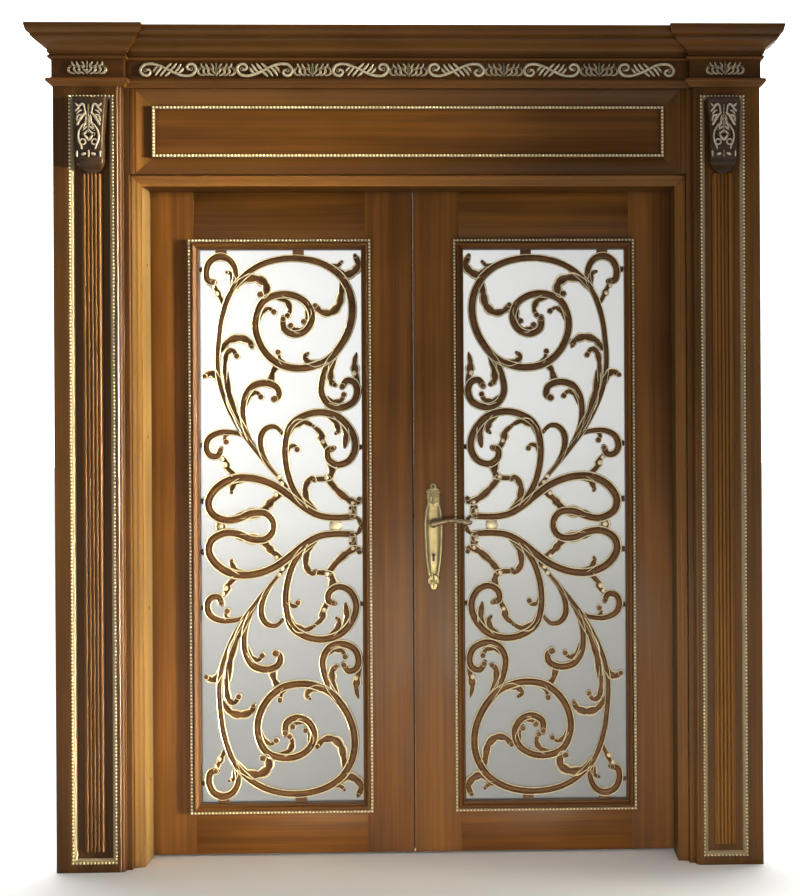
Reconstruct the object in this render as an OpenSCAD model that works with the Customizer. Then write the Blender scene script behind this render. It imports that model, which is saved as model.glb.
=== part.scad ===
// Baroque double door with its casing: two glazed leaves with carved scroll grilles, hung
// between reeded pilasters, under an overdoor panel, a carved frieze and a breaking cornice.
// The front faces -Y, X runs to the right and Z is up. The origin is on the floor, in the
// middle of the door's own box. Pieces are drawn for the right side and mirrored to the left.

/* [Doorway] */
// Clear width between the stops
opening_w = 1600; // [1400:10:1900]
// Clear height under the head stop
opening_h = 2040; // [1950:2:2300]
// Lap of the stops over the edges of the leaves
stop_lap = 11; // [9:1:14]
// Gap between a leaf and the lining
side_gap = 3; // [2.5:0.5:4]
// Gap between the two leaves
meeting_gap = 4; // [4:0.5:6]
// Gap under the leaves
floor_gap = 6; // [5:1:12]
// Depth of the reveal in front of the leaves
reveal_depth = 97; // [80:1:130]
// Room for the seal between stop and leaf
seal_room = 3; // [2.5:0.5:4]
// Thickness of the lining behind its rebate
lining_t = 26; // [22:1:34]
// How far the lining runs on behind the leaves
lining_back = 2; // [1:0.5:4]
// Diameter of the fixing holes through the jambs
fixing_d = 10; // [8:1:12]
// Height of the lowest fixing hole
fixing_low = 250; // [200:10:300]
// Distance between fixing holes
fixing_pitch = 520; // [450:10:550]

/* [Leaves] */
// Thickness of a leaf
leaf_t = 45; // [42:1:50]
// Width of the stiles
stile_w = 142; // [132:1:160]
// Width of the top rail
top_rail_w = 174; // [150:1:200]
// Width of the bottom rail
bottom_rail_w = 141; // [130:1:200]
// Thickness of the glass
glass_t = 6; // [5:1:8]
// Depth of the glass behind the leaf's front face
glass_depth = 24; // [22:1:26]
// Lap of the glazing moulding over the leaf
moulding_lap = 17; // [15:1:26]
// Reach of the glazing moulding into the glazed opening
moulding_reach = 13; // [10:1:16]
// How far the glazing moulding stands in front of the leaf
moulding_proud = 14; // [12:1:20]
// Width of the beads that hold the glass from behind
glass_bead_w = 13; // [10:1:16]

/* [Grille] */
// Thickness of the scroll grille
grille_t = 15; // [12:1:18]
// Depth of the grille's front behind the leaf's front face
grille_set = 1; // [0:0.5:3]
// Radius of the gilt ball in the grille's middle
grille_ball_r = 17; // [12:1:20]
// Width of the tabs that fix the grille at its top and bottom
grille_tab_w = 34; // [24:1:44]

/* [Hinges] */
// Number of hinges on a leaf
hinge_count = 3; // [2:1:4]
// Height of a hinge
hinge_h = 120; // [100:5:150]
// Diameter of the hinge knuckle
knuckle_d = 13; // [12:1:14]
// Diameter of the hinge pin
pin_d = 8; // [6:0.5:9]
// Distance of the hinge axis behind the leaves
hinge_back = 9; // [8:0.5:12]
// Thickness of the hinge plates
hinge_plate_t = 2.5; // [2:0.5:3]
// Depth of the hinge plates in the leaf's edge
hinge_plate_w = 32; // [25:1:36]
// Height of the lowest and distance of the highest hinge from the leaf's ends
hinge_end = 190; // [160:5:250]

/* [Lock and bolts] */
// Height of the lever's spindle above the floor
handle_z = 1017; // [950:1:1080]
// Distance of the spindle from the leaf's meeting edge
backset = 60; // [55:1:65]
// Length of the handle plate
plate_h = 326; // [280:2:340]
// Largest width of the handle plate
plate_w = 58; // [48:1:60]
// Thickness of the handle plate
plate_t = 4; // [3:0.5:6]
// Length of the lever
lever_l = 120; // [100:1:125]
// Distance from the plate's face to the lever's middle
lever_out = 44; // [38:1:52]
// Diameter of the lever's neck
neck_d = 18; // [15:1:20]
// Drop of the keyhole below the spindle
key_drop = 97; // [85:1:110]
// Thickness of the lock case
case_t = 16; // [14:1:18]
// Height of the lock case
case_h = 190; // [180:1:200]
// Throw of the latch
latch_throw = 11; // [9:0.5:12]
// Throw of the deadbolt
dead_throw = 20; // [15:1:22]
// Diameter of the flush bolts
bolt_d = 10; // [8:1:12]
// Throw of the flush bolts
bolt_throw = 18; // [15:1:20]
// Length of the flush bolts
bolt_l = 260; // [200:10:300]

/* [Inner architrave and pilasters] */
// Width of the inner architrave
architrave_w = 32; // [28:1:40]
// Thickness of the inner architrave
architrave_t = 25; // [20:1:30]
// Step from the casing back to the inner architrave
architrave_step = 25; // [18:1:30]
// Plain strip of casing beside a pilaster
casing_margin = 16; // [10:1:24]
// Thickness of the casing behind the pilasters
casing_t = 25; // [20:1:32]
// Width of a pilaster
pilaster_w = 202; // [190:1:230]
// How far a pilaster stands in front of the casing
pilaster_proud = 25; // [20:1:32]
// Width of the moulded inner edge of a pilaster
pilaster_edge = 14; // [10:1:18]
// Width of a pilaster's sunk panel
recess_w = 136; // [120:1:142]
// Depth of a pilaster's sunk panel
recess_depth = 13; // [10:1:16]
// Distance from a pilaster's inner edge to its sunk panel
recess_in = 22; // [18:1:34]
// Margin under and over the sunk panel
recess_margin = 24; // [20:1:40]
// Depth of the ledge that the beading of the sunk panel lies on
bead_ledge = 5; // [4:0.5:8]
// Diameter of the gilt beading
bead_d = 8; // [6:0.5:9]
// Number of reeds
reed_count = 5; // [4:1:6]
// Width of one reed
reed_w = 11; // [10:0.5:12]
// Gap between the reeded panel and the bottom of the sunk panel
reed_gap = 37; // [25:1:60]

/* [Corbels] */
// Width of a corbel
corbel_w = 98; // [90:1:110]
// Height of a corbel
corbel_h = 222; // [200:2:240]
// How far a corbel stands in front of the pilaster
corbel_proud = 26; // [20:1:34]
// Gap between a corbel and the top of the sunk panel
corbel_gap = 12; // [8:1:20]
// Relief of the carving on corbels and frieze
carving_relief = 6; // [4:0.5:8]

/* [Entablature] */
// Height of the overdoor panel
overdoor_h = 256; // [220:2:300]
// Width of the bevelled frame round the overdoor panel
overdoor_frame_w = 60; // [45:1:64]
// Width of the plain strips at the ends of the overdoor
overdoor_strip_w = 15; // [10:1:20]
// Depth of the bevelled frame behind the casing
overdoor_set = 4; // [2:0.5:6]
// Depth of the overdoor panel's field behind the casing
overdoor_sink = 18; // [12:1:20]
// Thickness of the overdoor board
overdoor_t = 15; // [12:1:20]
// Height of the necking moulding
necking_h = 27; // [22:1:34]
// How far the necking stands out
necking_proud = 15; // [12:1:18]
// Height of the frieze
frieze_h = 53; // [46:1:64]
// How far the frieze blocks stand in front of the pilasters
block_proud = 3; // [1:0.5:6]
// Width by which the frieze blocks pass the pilasters at their inner edge
block_in = 8; // [0:1:12]
// Height of the cornice
cornice_h = 94; // [80:1:120]
// How far the cornice stands out
cornice_proud = 64; // [50:1:80]
// Thickness of the cornice moulding behind its root
cornice_root = 18; // [14:1:20]
// Thickness of the board on top of the cornice
top_board_t = 12; // [8:1:18]

/* [Back casing] */
// Width of the back casing
back_casing_w = 80; // [60:1:110]
// Thickness of the back casing
back_casing_t = 18; // [14:1:22]
// Margin between the lining's face and the back casing
back_casing_margin = 8; // [6:1:12]

/* [Hidden] */

walnut = [0.42, 0.22, 0.08];
walnut_dark = [0.30, 0.15, 0.06];
gilt = [0.74, 0.60, 0.32];
brass = [0.80, 0.66, 0.30];
steel = [0.62, 0.63, 0.65];
frosted = [0.86, 0.89, 0.88];
rubber_brown = [0.20, 0.13, 0.09];

// Clearances: pieces that slide, pins that turn, and room cut round what is let in
slide_fit = 0.3;
pin_fit = 0.05;
let_in = 0.2;
eps = 0.01;

// Widths, measured from the door's middle
half_open = opening_w / 2;
half_leaf = half_open + stop_lap;
half_rebate = half_leaf + side_gap;
half_lining = half_rebate + lining_t;
half_casing = half_open + architrave_w;
half_pilaster = half_casing + casing_margin;
half_outer = half_pilaster + pilaster_w;
half_block = half_pilaster - block_in;
half_entab = half_outer + block_proud;
recess_x = half_pilaster + recess_in + recess_w / 2;
leaf_in = meeting_gap / 2;
leaf_w = half_leaf - leaf_in;
leaf_mid = (half_leaf + leaf_in) / 2;

// Heights above the floor
leaf_top = opening_h + stop_lap;
rebate_top = leaf_top + side_gap;
lining_top = rebate_top + lining_t;
overdoor_z = opening_h + architrave_w;
necking_z = overdoor_z + overdoor_h;
frieze_z = necking_z + necking_h;
cornice_z = frieze_z + frieze_h;
door_top = cornice_z + cornice_h;
glazed_z0 = floor_gap + bottom_rail_w;
glazed_z1 = leaf_top - top_rail_w;
glazed_mid = (glazed_z0 + glazed_z1) / 2;
glazed_w = leaf_w - 2 * stile_w;
glazed_h = glazed_z1 - glazed_z0;
sight_w = glazed_w - 2 * moulding_reach;
sight_h = glazed_h - 2 * moulding_reach;
recess_z0 = recess_margin;
recess_z1 = necking_z - recess_margin;
corbel_z1 = recess_z1 - corbel_gap;
corbel_z0 = corbel_z1 - corbel_h;

// Depths, so that the door's own box is centred on the origin
lever_r = 9;
lever_reach = plate_t + lever_out + lever_r;
depth_front = cornice_proud + block_proud;
lining_depth = reveal_depth + seal_room + leaf_t + lining_back;
depth_lining = pilaster_proud + architrave_step + architrave_t;
depth_leaf = depth_lining + reveal_depth + seal_room;
depth_back = max(depth_leaf + leaf_t + lever_reach, depth_lining + lining_depth + back_casing_t);
pilaster_y = (depth_front - depth_back) / 2;
casing_y = pilaster_y + pilaster_proud;
casing_back_y = casing_y + casing_t;
architrave_y = casing_y + architrave_step;
lining_y = architrave_y + architrave_t;
stop_y = lining_y + reveal_depth;
leaf_y = stop_y + seal_room;
leaf_back_y = leaf_y + leaf_t;
leaf_mid_y = leaf_y + leaf_t / 2;
lining_back_y = leaf_back_y + lining_back;
block_y = pilaster_y - block_proud;
frieze_y = casing_y - block_proud;
hinge_x = half_leaf + side_gap / 2;
hinge_y = leaf_back_y + hinge_back;

// Curves and mouldings

function unit(v) = v / norm(v);
function left_of(v) = [-v[1], v[0]];

// Offset direction at a corner of a path, so that mitred runs meet
function mitre(path, i, closed) =
  let (
    n = len(path),
    before = unit(path[i] - path[(i + n - 1) % n]),
    after = unit(path[(i + 1) % n] - path[i]),
    a = left_of(!closed && i == 0 ? after : before),
    b = left_of(!closed && i == n - 1 ? before : after)
  ) (a + b) / (1 + a * b);

// Faces of a skin over k rings of m points each, capped at its ends or closed on itself
function skin(k, m, closed) = concat(
  [
    for (i = [0 : (closed ? k : k - 1) - 1]) for (j = [0 : m - 1])
      let (next = ((i + 1) % k) * m, up = (j + 1) % m)
        [i * m + j, next + j, next + up, i * m + up]
  ],
  closed ? [] : [[for (j = [0 : m - 1]) j], [for (j = [m - 1 : -1 : 0]) (k - 1) * m + j]]
);

// A moulding of one section, [out, up], run along a path with mitred corners
module moulding(path, section, closed = false, from = 0, to = undef) {
  corners = [for (i = [from : to == undef ? len(path) - 1 : to]) i];
  points = [
    for (i = corners) let (d = mitre(path, i, closed))
      for (q = section) [path[i][0] + d[0] * q[0], path[i][1] + d[1] * q[0], q[1]]
  ];
  polyhedron(points, skin(len(corners), len(section), closed));
}

// Lays a moulding drawn in the plane of the door's face upright, at depth y
module upright(y) translate([0, y, 0]) rotate([90, 0, 0]) children();

// Corners of a rectangle in the door's face, for mouldings that grow outwards
function frame_path(x, z0, z1, w) =
  [[x - w / 2, z0], [x - w / 2, z1], [x + w / 2, z1], [x + w / 2, z0]];

// Section curves from point p to point q
function cyma(p, q, n = 6) =
  [for (i = [0 : n]) let (t = i / n) [p[0] + (q[0] - p[0]) * (1 - cos(180 * t)) / 2, p[1] + (q[1] - p[1]) * t]];
function ovolo(p, q, n = 4) =
  [for (i = [0 : n]) let (t = 90 * i / n) [p[0] + (q[0] - p[0]) * sin(t), p[1] + (q[1] - p[1]) * (1 - cos(t))]];
function bead(centre, r, from, to, n = 6) =
  [for (i = [0 : n]) let (t = from + (to - from) * i / n) centre + r * [cos(t), sin(t)]];

// A smooth line through hand-set points, with n steps between neighbours
function smooth_at(p, i, t) =
  let (
    n = len(p),
    a = p[max(i - 1, 0)], b = p[i], c = p[min(i + 1, n - 1)], d = p[min(i + 2, n - 1)]
  ) 0.5 * (2 * b + (c - a) * t + (2 * a - 5 * b + 4 * c - d) * t * t + (3 * b - a - 3 * c + d) * t * t * t);
function smooth(p, n) =
  concat([for (i = [0 : len(p) - 2]) for (k = [0 : n - 1]) smooth_at(p, i, k / n)], [p[len(p) - 1]]);

// Half width of a stroke at share t of its length: root, belly and tip
function stroke_half(s, t) =
  (t < 0.5 ? s[0] + (s[1] - s[0]) * 2 * t : s[1] + (s[2] - s[1]) * (2 * t - 1)) / 2;

// One carved stroke: root, belly and tip width, radius of its end bulb, and its points
module stroke(s, steps = 2) {
  line = smooth(s[4], steps);
  n = len(line);
  edge = [
    for (i = [0 : n - 1])
      let (
        d = left_of(unit(line[min(i + 1, n - 1)] - line[max(i - 1, 0)])),
        h = stroke_half(s, i / (n - 1))
      ) [line[i] + d * h, line[i] - d * h]
  ];
  for (i = [0 : n - 2])
    polygon([edge[i][0], edge[i + 1][0], edge[i + 1][1], edge[i][1]]);
  if (s[3] > 0)
    translate(line[n - 1]) circle(s[3], $fn = 12);
}

// Scroll grille, the upper half of one leaf: u from the hinge side, v above the middle

grille_ref = [506, 1704];
grille_tab_places = [70, 310];
grille_tab_foot = 828;
grille_ball_place = [421, 0];
grille_strokes = [
  // Main stem, great loop and its inner spiral
  [12, 25, 22, 7, [[268, 122], [225, 172], [175, 232], [125, 300], [88, 370], [64, 440], [57, 510],
    [62, 580], [72, 645], [98, 718], [140, 770], [195, 806], [260, 823], [325, 823], [385, 808],
    [435, 776], [466, 730], [478, 680], [473, 625], [450, 570], [410, 520], [360, 494], [310, 486],
    [255, 496], [210, 530], [182, 580], [176, 635], [198, 690], [245, 713], [297, 710], [338, 683],
    [352, 640], [332, 602], [295, 590], [265, 607], [262, 638]]],
  // Leaves in the spiral
  [14, 17, 9, 0, [[238, 706], [272, 693], [284, 668], [276, 648]]],
  [12, 16, 8, 0, [[318, 700], [338, 672], [338, 642], [326, 630]]],
  [9, 15, 8, 0, [[345, 622], [318, 604], [298, 606], [286, 618]]],
  [9, 13, 8, 0, [[182, 625], [195, 655], [215, 671], [234, 660]]],
  // Leaves inside the great loop
  [12, 12, 8, 0, [[300, 490], [268, 500], [252, 515], [246, 536]]],
  [16, 17, 10, 4, [[420, 528], [380, 504], [345, 504], [327, 520], [340, 532]]],
  [19, 22, 15, 6, [[450, 752], [443, 715], [435, 680], [410, 657], [380, 660], [362, 680]]],
  // Hook in the top left of the loop
  [16, 24, 18, 8, [[105, 726], [140, 758], [180, 763], [208, 745], [208, 718], [192, 714]]],
  // Corner leaf at the top right
  [21, 22, 14, 5, [[430, 788], [455, 774], [482, 782], [498, 806], [488, 832]]],
  [10, 12, 9, 4, [[408, 802], [432, 802], [446, 814]]],
  // Curl in the top left corner, its leaf and its bead chain
  [14, 24, 21, 6, [[86, 694], [110, 745], [115, 785], [98, 818], [68, 830], [38, 818], [24, 788],
    [28, 758], [46, 752]]],
  [9, 15, 9, 4, [[100, 712], [105, 745], [102, 775], [88, 782]]],
  [7, 17, 8, 0, [[46, 748], [55, 728], [66, 706], [78, 682]]],
  // Hooks on the left of the stem
  [16, 22, 14, 5, [[70, 545], [92, 571], [125, 580], [155, 570], [165, 552]]],
  [12, 17, 10, 0, [[78, 440], [80, 500], [86, 532], [104, 543], [118, 524]]],
  [16, 20, 12, 6, [[72, 425], [54, 460], [36, 472], [18, 462]]],
  [19, 20, 15, 0, [[84, 470], [92, 410], [112, 345], [150, 275]]],
  // Curl under the loop, its inner leaf, its flame and its tie
  [19, 24, 21, 7, [[438, 548], [402, 500], [384, 455], [380, 410], [402, 374], [440, 364], [478, 380],
    [492, 412], [484, 440], [460, 448], [446, 430]]],
  [14, 20, 14, 6, [[424, 524], [410, 480], [409, 448], [422, 434]]],
  [12, 17, 9, 0, [[392, 398], [415, 382], [440, 386], [450, 404]]],
  [9, 22, 6, 0, [[496, 440], [488, 470], [484, 500], [490, 532]]],
  [22, 20, 22, 0, [[414, 372], [414, 338]]],
  [16, 17, 21, 0, [[242, 494], [228, 474], [220, 436]]],
  // Frond between stem and loop
  [14, 24, 21, 9, [[168, 244], [145, 295], [135, 345], [140, 392], [164, 430], [205, 441], [240, 428],
    [247, 402], [234, 392]]],
  [9, 15, 8, 0, [[144, 370], [158, 402], [178, 412], [192, 398]]],
  // Heart branch
  [12, 22, 12, 5, [[250, 146], [212, 192], [192, 236], [190, 275], [208, 302], [236, 306], [258, 286]]],
  // Second loop, its leaves and its bead chain
  [19, 24, 21, 6, [[352, 50], [312, 82], [284, 130], [268, 190], [266, 250], [282, 308], [325, 340],
    [380, 350], [435, 334], [474, 290], [485, 242], [466, 202], [430, 188], [402, 204], [398, 230],
    [414, 238]]],
  [10, 20, 9, 4, [[270, 262], [290, 305], [325, 320], [355, 308]]],
  [9, 12, 8, 0, [[268, 210], [278, 240], [296, 248], [304, 236]]],
  [12, 17, 9, 4, [[395, 345], [422, 320], [432, 296], [424, 284]]],
  [12, 20, 12, 0, [[448, 318], [456, 285], [452, 244]]],
  [9, 21, 12, 0, [[352, 308], [376, 288], [382, 262], [396, 236]]],
  // Forked branch by the meeting side
  [19, 18, 15, 4, [[358, 44], [334, 78], [328, 118], [345, 146], [356, 140]]],
  [14, 17, 24, 0, [[350, 144], [394, 146], [410, 162], [412, 194]]],
  [19, 20, 14, 6, [[396, 148], [425, 112], [460, 82], [488, 70], [496, 82]]],
  [12, 15, 15, 0, [[476, 76], [480, 52], [474, 26]]],
  // Left curl with its bead chain
  [14, 22, 20, 6, [[140, 280], [105, 289], [65, 290], [32, 274], [21, 245], [32, 220], [56, 217],
    [66, 236]]],
  [9, 12, 8, 0, [[92, 288], [78, 276], [84, 260]]],
  [8, 20, 10, 0, [[64, 218], [82, 198], [88, 178], [118, 150]]],
  // Long lower stem
  [21, 27, 21, 0, [[474, 27], [420, 25], [370, 32], [325, 56], [280, 92], [230, 126], [170, 147],
    [110, 148], [58, 124], [28, 82], [36, 42], [76, 20], [120, 24], [160, 40], [200, 40], [222, 22],
    [228, -2]]],
  [9, 11, 9, 4, [[470, 26], [480, 40], [468, 54]]],
  [10, 12, 12, 0, [[460, 28], [490, 24], [504, -2]]],
  [12, 15, 8, 4, [[150, 146], [112, 134], [98, 112], [100, 104]]],
  [19, 22, 12, 0, [[190, 40], [210, 62], [226, 80], [252, 98]]],
  [6, 17, 30, 0, [[100, 22], [118, 34], [140, 36], [176, 40]]],
  // Ties to the moulding at the sides
  [18, 14, 18, 0, [[26, 790], [2, 790]]],
  [18, 14, 18, 0, [[24, 250], [2, 250]]],
  [20, 16, 20, 0, [[30, 78], [2, 78]]],
  [14, 12, 16, 0, [[484, 246], [504, 240]]],
  [14, 12, 16, 0, [[488, 410], [504, 414]]],
  // Tie leaf between the halves
  [12, 17, 30, 0, [[46, 30], [62, 18], [65, -2]]]
];

// Parts of the frame

// A wooden piece of the lining, drawn for the right side, with its stop and rebate
module jamb() {
  color(walnut) difference() {
    union() {
      translate([half_open, lining_y, 0]) cube([half_lining - half_open, reveal_depth, lining_top]);
      translate([half_rebate, stop_y - eps, 0])
        cube([lining_t, lining_back_y - stop_y + eps, lining_top]);
    }
    for (z = [fixing_low : fixing_pitch : lining_top - fixing_low / 2])
      translate([half_open - eps, lining_y + reveal_depth / 2, z]) rotate([0, 90, 0])
        cylinder(d = fixing_d, h = half_lining - half_open + 2 * eps, $fn = 32);
    hinge_mortises(half_rebate - eps, hinge_plate_t + let_in + eps);
  }
}

// Room for the hinge plates, on the rebate of the lining or on the leaf's edge
module hinge_mortises(x, w) {
  for (z = hinge_levels)
    translate([x, leaf_back_y - hinge_plate_w - let_in, z - hinge_h / 2 - let_in])
      cube([w, hinge_plate_w + lining_back + 2 * let_in + 1, hinge_h + 2 * let_in]);
}

// Middle heights of the hinges
hinge_levels = [for (i = [0 : hinge_count - 1])
  floor_gap + hinge_end + i * (leaf_top - floor_gap - 2 * hinge_end) / (hinge_count - 1)];

module left_jamb() mirror([1, 0, 0]) jamb();
module right_jamb() jamb();

module head_jamb() {
  color(walnut) difference() {
    union() {
      translate([-half_open, lining_y, opening_h]) cube([opening_w, reveal_depth, lining_top - opening_h]);
      translate([-half_rebate, stop_y - eps, rebate_top])
        cube([2 * half_rebate, lining_back_y - stop_y + eps, lining_t]);
    }
    translate([bolt_x, leaf_mid_y, rebate_top - eps])
      cylinder(d = bolt_d + 2, h = bolt_throw + 4, $fn = 32);
  }
}

seal_w = 7;
seal_t = seal_room - 0.4;
module door_seals() {
  color(rubber_brown) {
    for (side = [-1, 1])
      translate([side * (half_open + seal_w / 2 + 1) - seal_w / 2, stop_y, floor_gap])
        cube([seal_w, seal_t, opening_h - floor_gap]);
    translate([-half_open, stop_y, opening_h + 1]) cube([opening_w, seal_t, seal_w]);
  }
}

// Inner architrave: a nosing at the opening, a flat and a raised outer fillet
architrave_path = [[-half_open, 0], [-half_open, opening_h], [half_open, opening_h], [half_open, 0]];
nosing_r = 4;
architrave_section = concat(
  [[architrave_w, 0], [architrave_w, architrave_t + 4], [architrave_w - 6, architrave_t + 4]],
  [[architrave_w - 9, architrave_t - 1], [2 * nosing_r + 2, architrave_t - 1]],
  bead([nosing_r, architrave_t - nosing_r + 1], nosing_r, 60, 180),
  [[0, 0]]
);
module architrave(from, to) {
  color(walnut) upright(lining_y) moulding(architrave_path, architrave_section, false, from, to);
}
module left_architrave() architrave(0, 1);
module head_architrave() architrave(1, 2);
module right_architrave() architrave(2, 3);

// Pilaster with its casing: the moulded inner edge steps back to the plain casing strip
pilaster_section = concat(
  [[half_outer, casing_back_y], [half_casing, casing_back_y], [half_casing, casing_y]],
  [[half_pilaster, casing_y], [half_pilaster, pilaster_y + 14], [half_pilaster + 3, pilaster_y + 14]],
  bead([half_pilaster + 8, pilaster_y + 8], 5, 180, 270, 4),
  [[half_pilaster + pilaster_edge - 3, pilaster_y + 3], [half_pilaster + pilaster_edge, pilaster_y]],
  [[half_outer, pilaster_y]]
);
module pilaster() {
  color(walnut) difference() {
    linear_extrude(necking_z) polygon(pilaster_section);
    sunk_panel(0, bead_ledge);
    sunk_panel(bead_d + 1, recess_depth);
  }
}
// Pocket for the sunk panel, drawn in by a margin all round
module sunk_panel(margin, depth) {
  translate([recess_x - recess_w / 2 + margin, pilaster_y - 1, recess_z0 + margin])
    cube([recess_w - 2 * margin, depth + 1, recess_z1 - recess_z0 - 2 * margin]);
}
module left_pilaster() mirror([1, 0, 0]) pilaster();
module right_pilaster() pilaster();

// Reeded panel on the floor of the sunk panel
reed_panel_t = 5;
module reeded_panel() {
  w = reed_count * reed_w;
  z0 = recess_z0 + reed_gap;
  section = concat(
    [[w / 2 + 3, 0], [w / 2 + 3, reed_panel_t], [w / 2, reed_panel_t]],
    [for (i = [0 : reed_count - 1])
      each bead([w / 2 - reed_w * (i + 0.5), reed_panel_t], reed_w / 2 - 0.4, 0, 180, 5)],
    [[-w / 2, reed_panel_t], [-w / 2 - 3, reed_panel_t], [-w / 2 - 3, 0]]
  );
  color(walnut) translate([recess_x, pilaster_y + recess_depth, z0])
    rotate([0, 0, 180]) linear_extrude(corbel_z0 - z0) polygon(section);
}
module left_reeded_panel() mirror([1, 0, 0]) reeded_panel();
module right_reeded_panel() reeded_panel();

// Half-round gilt beading with its foot on the given plane
bead_section = concat(bead([0, bead_d / 4], bead_d / 2, 0, 180), [[-bead_d / 2, 0], [bead_d / 2, 0]]);
module beading(path, y) color(gilt) upright(y) moulding(path, bead_section, true);

module pilaster_beading() {
  z = bead_d / 2;
  beading(frame_path(recess_x, recess_z0 + z, recess_z1 - z, recess_w - bead_d), pilaster_y + bead_ledge);
}
module left_pilaster_beading() mirror([1, 0, 0]) pilaster_beading();
module right_pilaster_beading() pilaster_beading();

// Corbel: a block with a curved drop end and a leaf carved on its face
corbel_drop = 38;
corbel_foot_w = 80;
module corbel() {
  back = pilaster_y + recess_depth;
  front = corbel_proud + recess_depth;
  face_z = corbel_drop + 8;
  side = concat(
    [[0, 0], [10, 0]],
    cyma([10, 4], [front - 6, corbel_drop - 8], 5),
    [[front - 6, corbel_drop], [front, face_z]],
    [[front, corbel_h - 14], [front + 4, corbel_h - 10], [front + 4, corbel_h], [0, corbel_h]]
  );
  color(walnut_dark) translate([recess_x, back, corbel_z0]) {
    intersection() {
      rotate([90, 0, -90]) translate([0, 0, -corbel_w / 2]) linear_extrude(corbel_w) polygon(side);
      translate([0, 1, 0]) rotate([90, 0, 0]) linear_extrude(front + 20) polygon(corbel_outline);
    }
    translate([0, -front, 0]) rotate([90, 0, 0]) linear_extrude(carving_relief) offset(delta = 0.05)
      corbel_leaf();
  }
}
// Front outline of a corbel: sides that taper down to a rounded foot
corbel_outline = concat(
  [[corbel_w / 2, corbel_h], [-corbel_w / 2, corbel_h], [-corbel_foot_w / 2, corbel_h / 2]],
  [for (i = [0 : 8]) let (t = 180 + 180 * i / 8)
    [corbel_foot_w / 2 * cos(t), corbel_drop * (1 + sin(t))]],
  [[corbel_foot_w / 2, corbel_h / 2]]
);
// Palmette and studs in strokes, measured from the corbel's foot, one half of each pair
corbel_leaf_strokes = [
  [7, 8, 5, 0, [[0, 118], [0, 150], [0, 198]]],
  [5, 8, 7, 0, [[-9, 172], [-12, 194], [-18, 200], [-25, 196], [-31, 186], [-36, 181]]],
  [4, 7, 5, 0, [[-27, 192], [-33, 197], [-37, 201]]],
  [6, 10, 8, 0, [[-8, 175], [-18, 165], [-25, 154], [-32, 141]]],
  [5, 8, 5, 0, [[-14, 168], [-30, 166], [-34, 152]]],
  [5, 7, 6, 0, [[-4, 158], [-10, 143], [-14, 132]]],
  [5, 7, 8, 4, [[-4, 134], [-9, 130], [-16, 125]]],
  [5, 7, 8, 4, [[-3, 122], [-8, 117], [-15, 111]]],
  [5, 7, 5, 0, [[-10, 106], [-5, 99], [0, 93]]],
  [5, 7, 6, 0, [[-16, 140], [-27, 122], [-30, 105], [-27, 90], [-22, 78], [-20, 70]]],
  [5, 5, 5, 0, [[-25, 92], [-19, 97], [-11, 94], [-9, 87], [-14, 81], [-22, 82]]],
  [7, 8, 7, 0, [[0, 62], [0, 54], [0, 47]]],
  [9, 10, 9, 0, [[-12, 54], [-15, 53], [-17, 52]]],
  [6, 7, 6, 0, [[-34, 60], [-34, 54], [-34, 48]]]
];
module corbel_leaf() {
  for (s = corbel_leaf_strokes) {
    stroke(s);
    mirror([1, 0]) stroke(s);
  }
}
module left_corbel() mirror([1, 0, 0]) corbel();
module right_corbel() corbel();

// Overdoor: a bevelled frame round a sunk field, between plain strips, with gilt beading on the inner edge
overdoor_half = half_casing - overdoor_strip_w;
overdoor_field_w = 2 * (overdoor_half - overdoor_frame_w);
overdoor_relief = overdoor_sink - overdoor_set;
overdoor_seat = overdoor_relief * 0.7;
overdoor_in_z0 = overdoor_z + overdoor_frame_w;
overdoor_in_z1 = necking_z - overdoor_frame_w;
module overdoor_board() {
  color(walnut) translate([-half_casing, casing_y + overdoor_sink, overdoor_z])
    cube([2 * half_casing, overdoor_t, overdoor_h]);
}
module overdoor_moulding() {
  w = overdoor_frame_w;
  h = overdoor_relief;
  low = h * 0.45;
  section = concat(
    [[w, 0], [w, h], [w - 7, h], [w - 9, h - 3]],
    [for (p = cyma([h - 3, w - 9], [low, bead_d + 6], 6)) [p[1], p[0]]],
    [[bead_d + 2, low], [bead_d, overdoor_seat], [0, overdoor_seat], [0, 0]]
  );
  color(walnut) {
    upright(casing_y + overdoor_sink)
      moulding(frame_path(0, overdoor_in_z0, overdoor_in_z1, overdoor_field_w), section, true);
    for (side = [0, 1]) mirror([side, 0, 0])
      translate([overdoor_half - eps, casing_y, overdoor_z])
        cube([overdoor_strip_w + eps, overdoor_sink, overdoor_h]);
  }
}
module overdoor_beading() {
  z = bead_d / 2;
  beading(frame_path(0, overdoor_in_z0 - z, overdoor_in_z1 + z, overdoor_field_w + bead_d),
    casing_y + overdoor_sink - overdoor_seat);
}

// Entablature: necking, frieze and cornice break forward over the pilasters
entab_path = [
  [half_entab, casing_back_y], [half_entab, block_y], [half_block, block_y], [half_block, frieze_y],
  [-half_block, frieze_y], [-half_block, block_y], [-half_entab, block_y], [-half_entab, casing_back_y]
];
module necking_moulding() {
  p = necking_proud;
  r = necking_h * 0.27;
  section = concat(
    [[-cornice_root, 0]],
    cyma([0, 0], [p - r, necking_h * 0.35], 4),
    bead([p - r, necking_h * 0.62], r, -90, 90),
    [[2, necking_h * 0.89], [2, necking_h], [-cornice_root, necking_h]]
  );
  color(walnut) translate([0, 0, necking_z]) moulding(entab_path, section);
}
module frieze_board() {
  color(walnut) translate([-half_block, frieze_y, frieze_z])
    cube([2 * half_block, casing_back_y - frieze_y, frieze_h]);
}
module frieze_block() {
  color(walnut) translate([half_block, block_y, frieze_z])
    cube([half_entab - half_block, casing_back_y - block_y, frieze_h]);
}
module left_frieze_block() mirror([1, 0, 0]) frieze_block();
module right_frieze_block() frieze_block();

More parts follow.
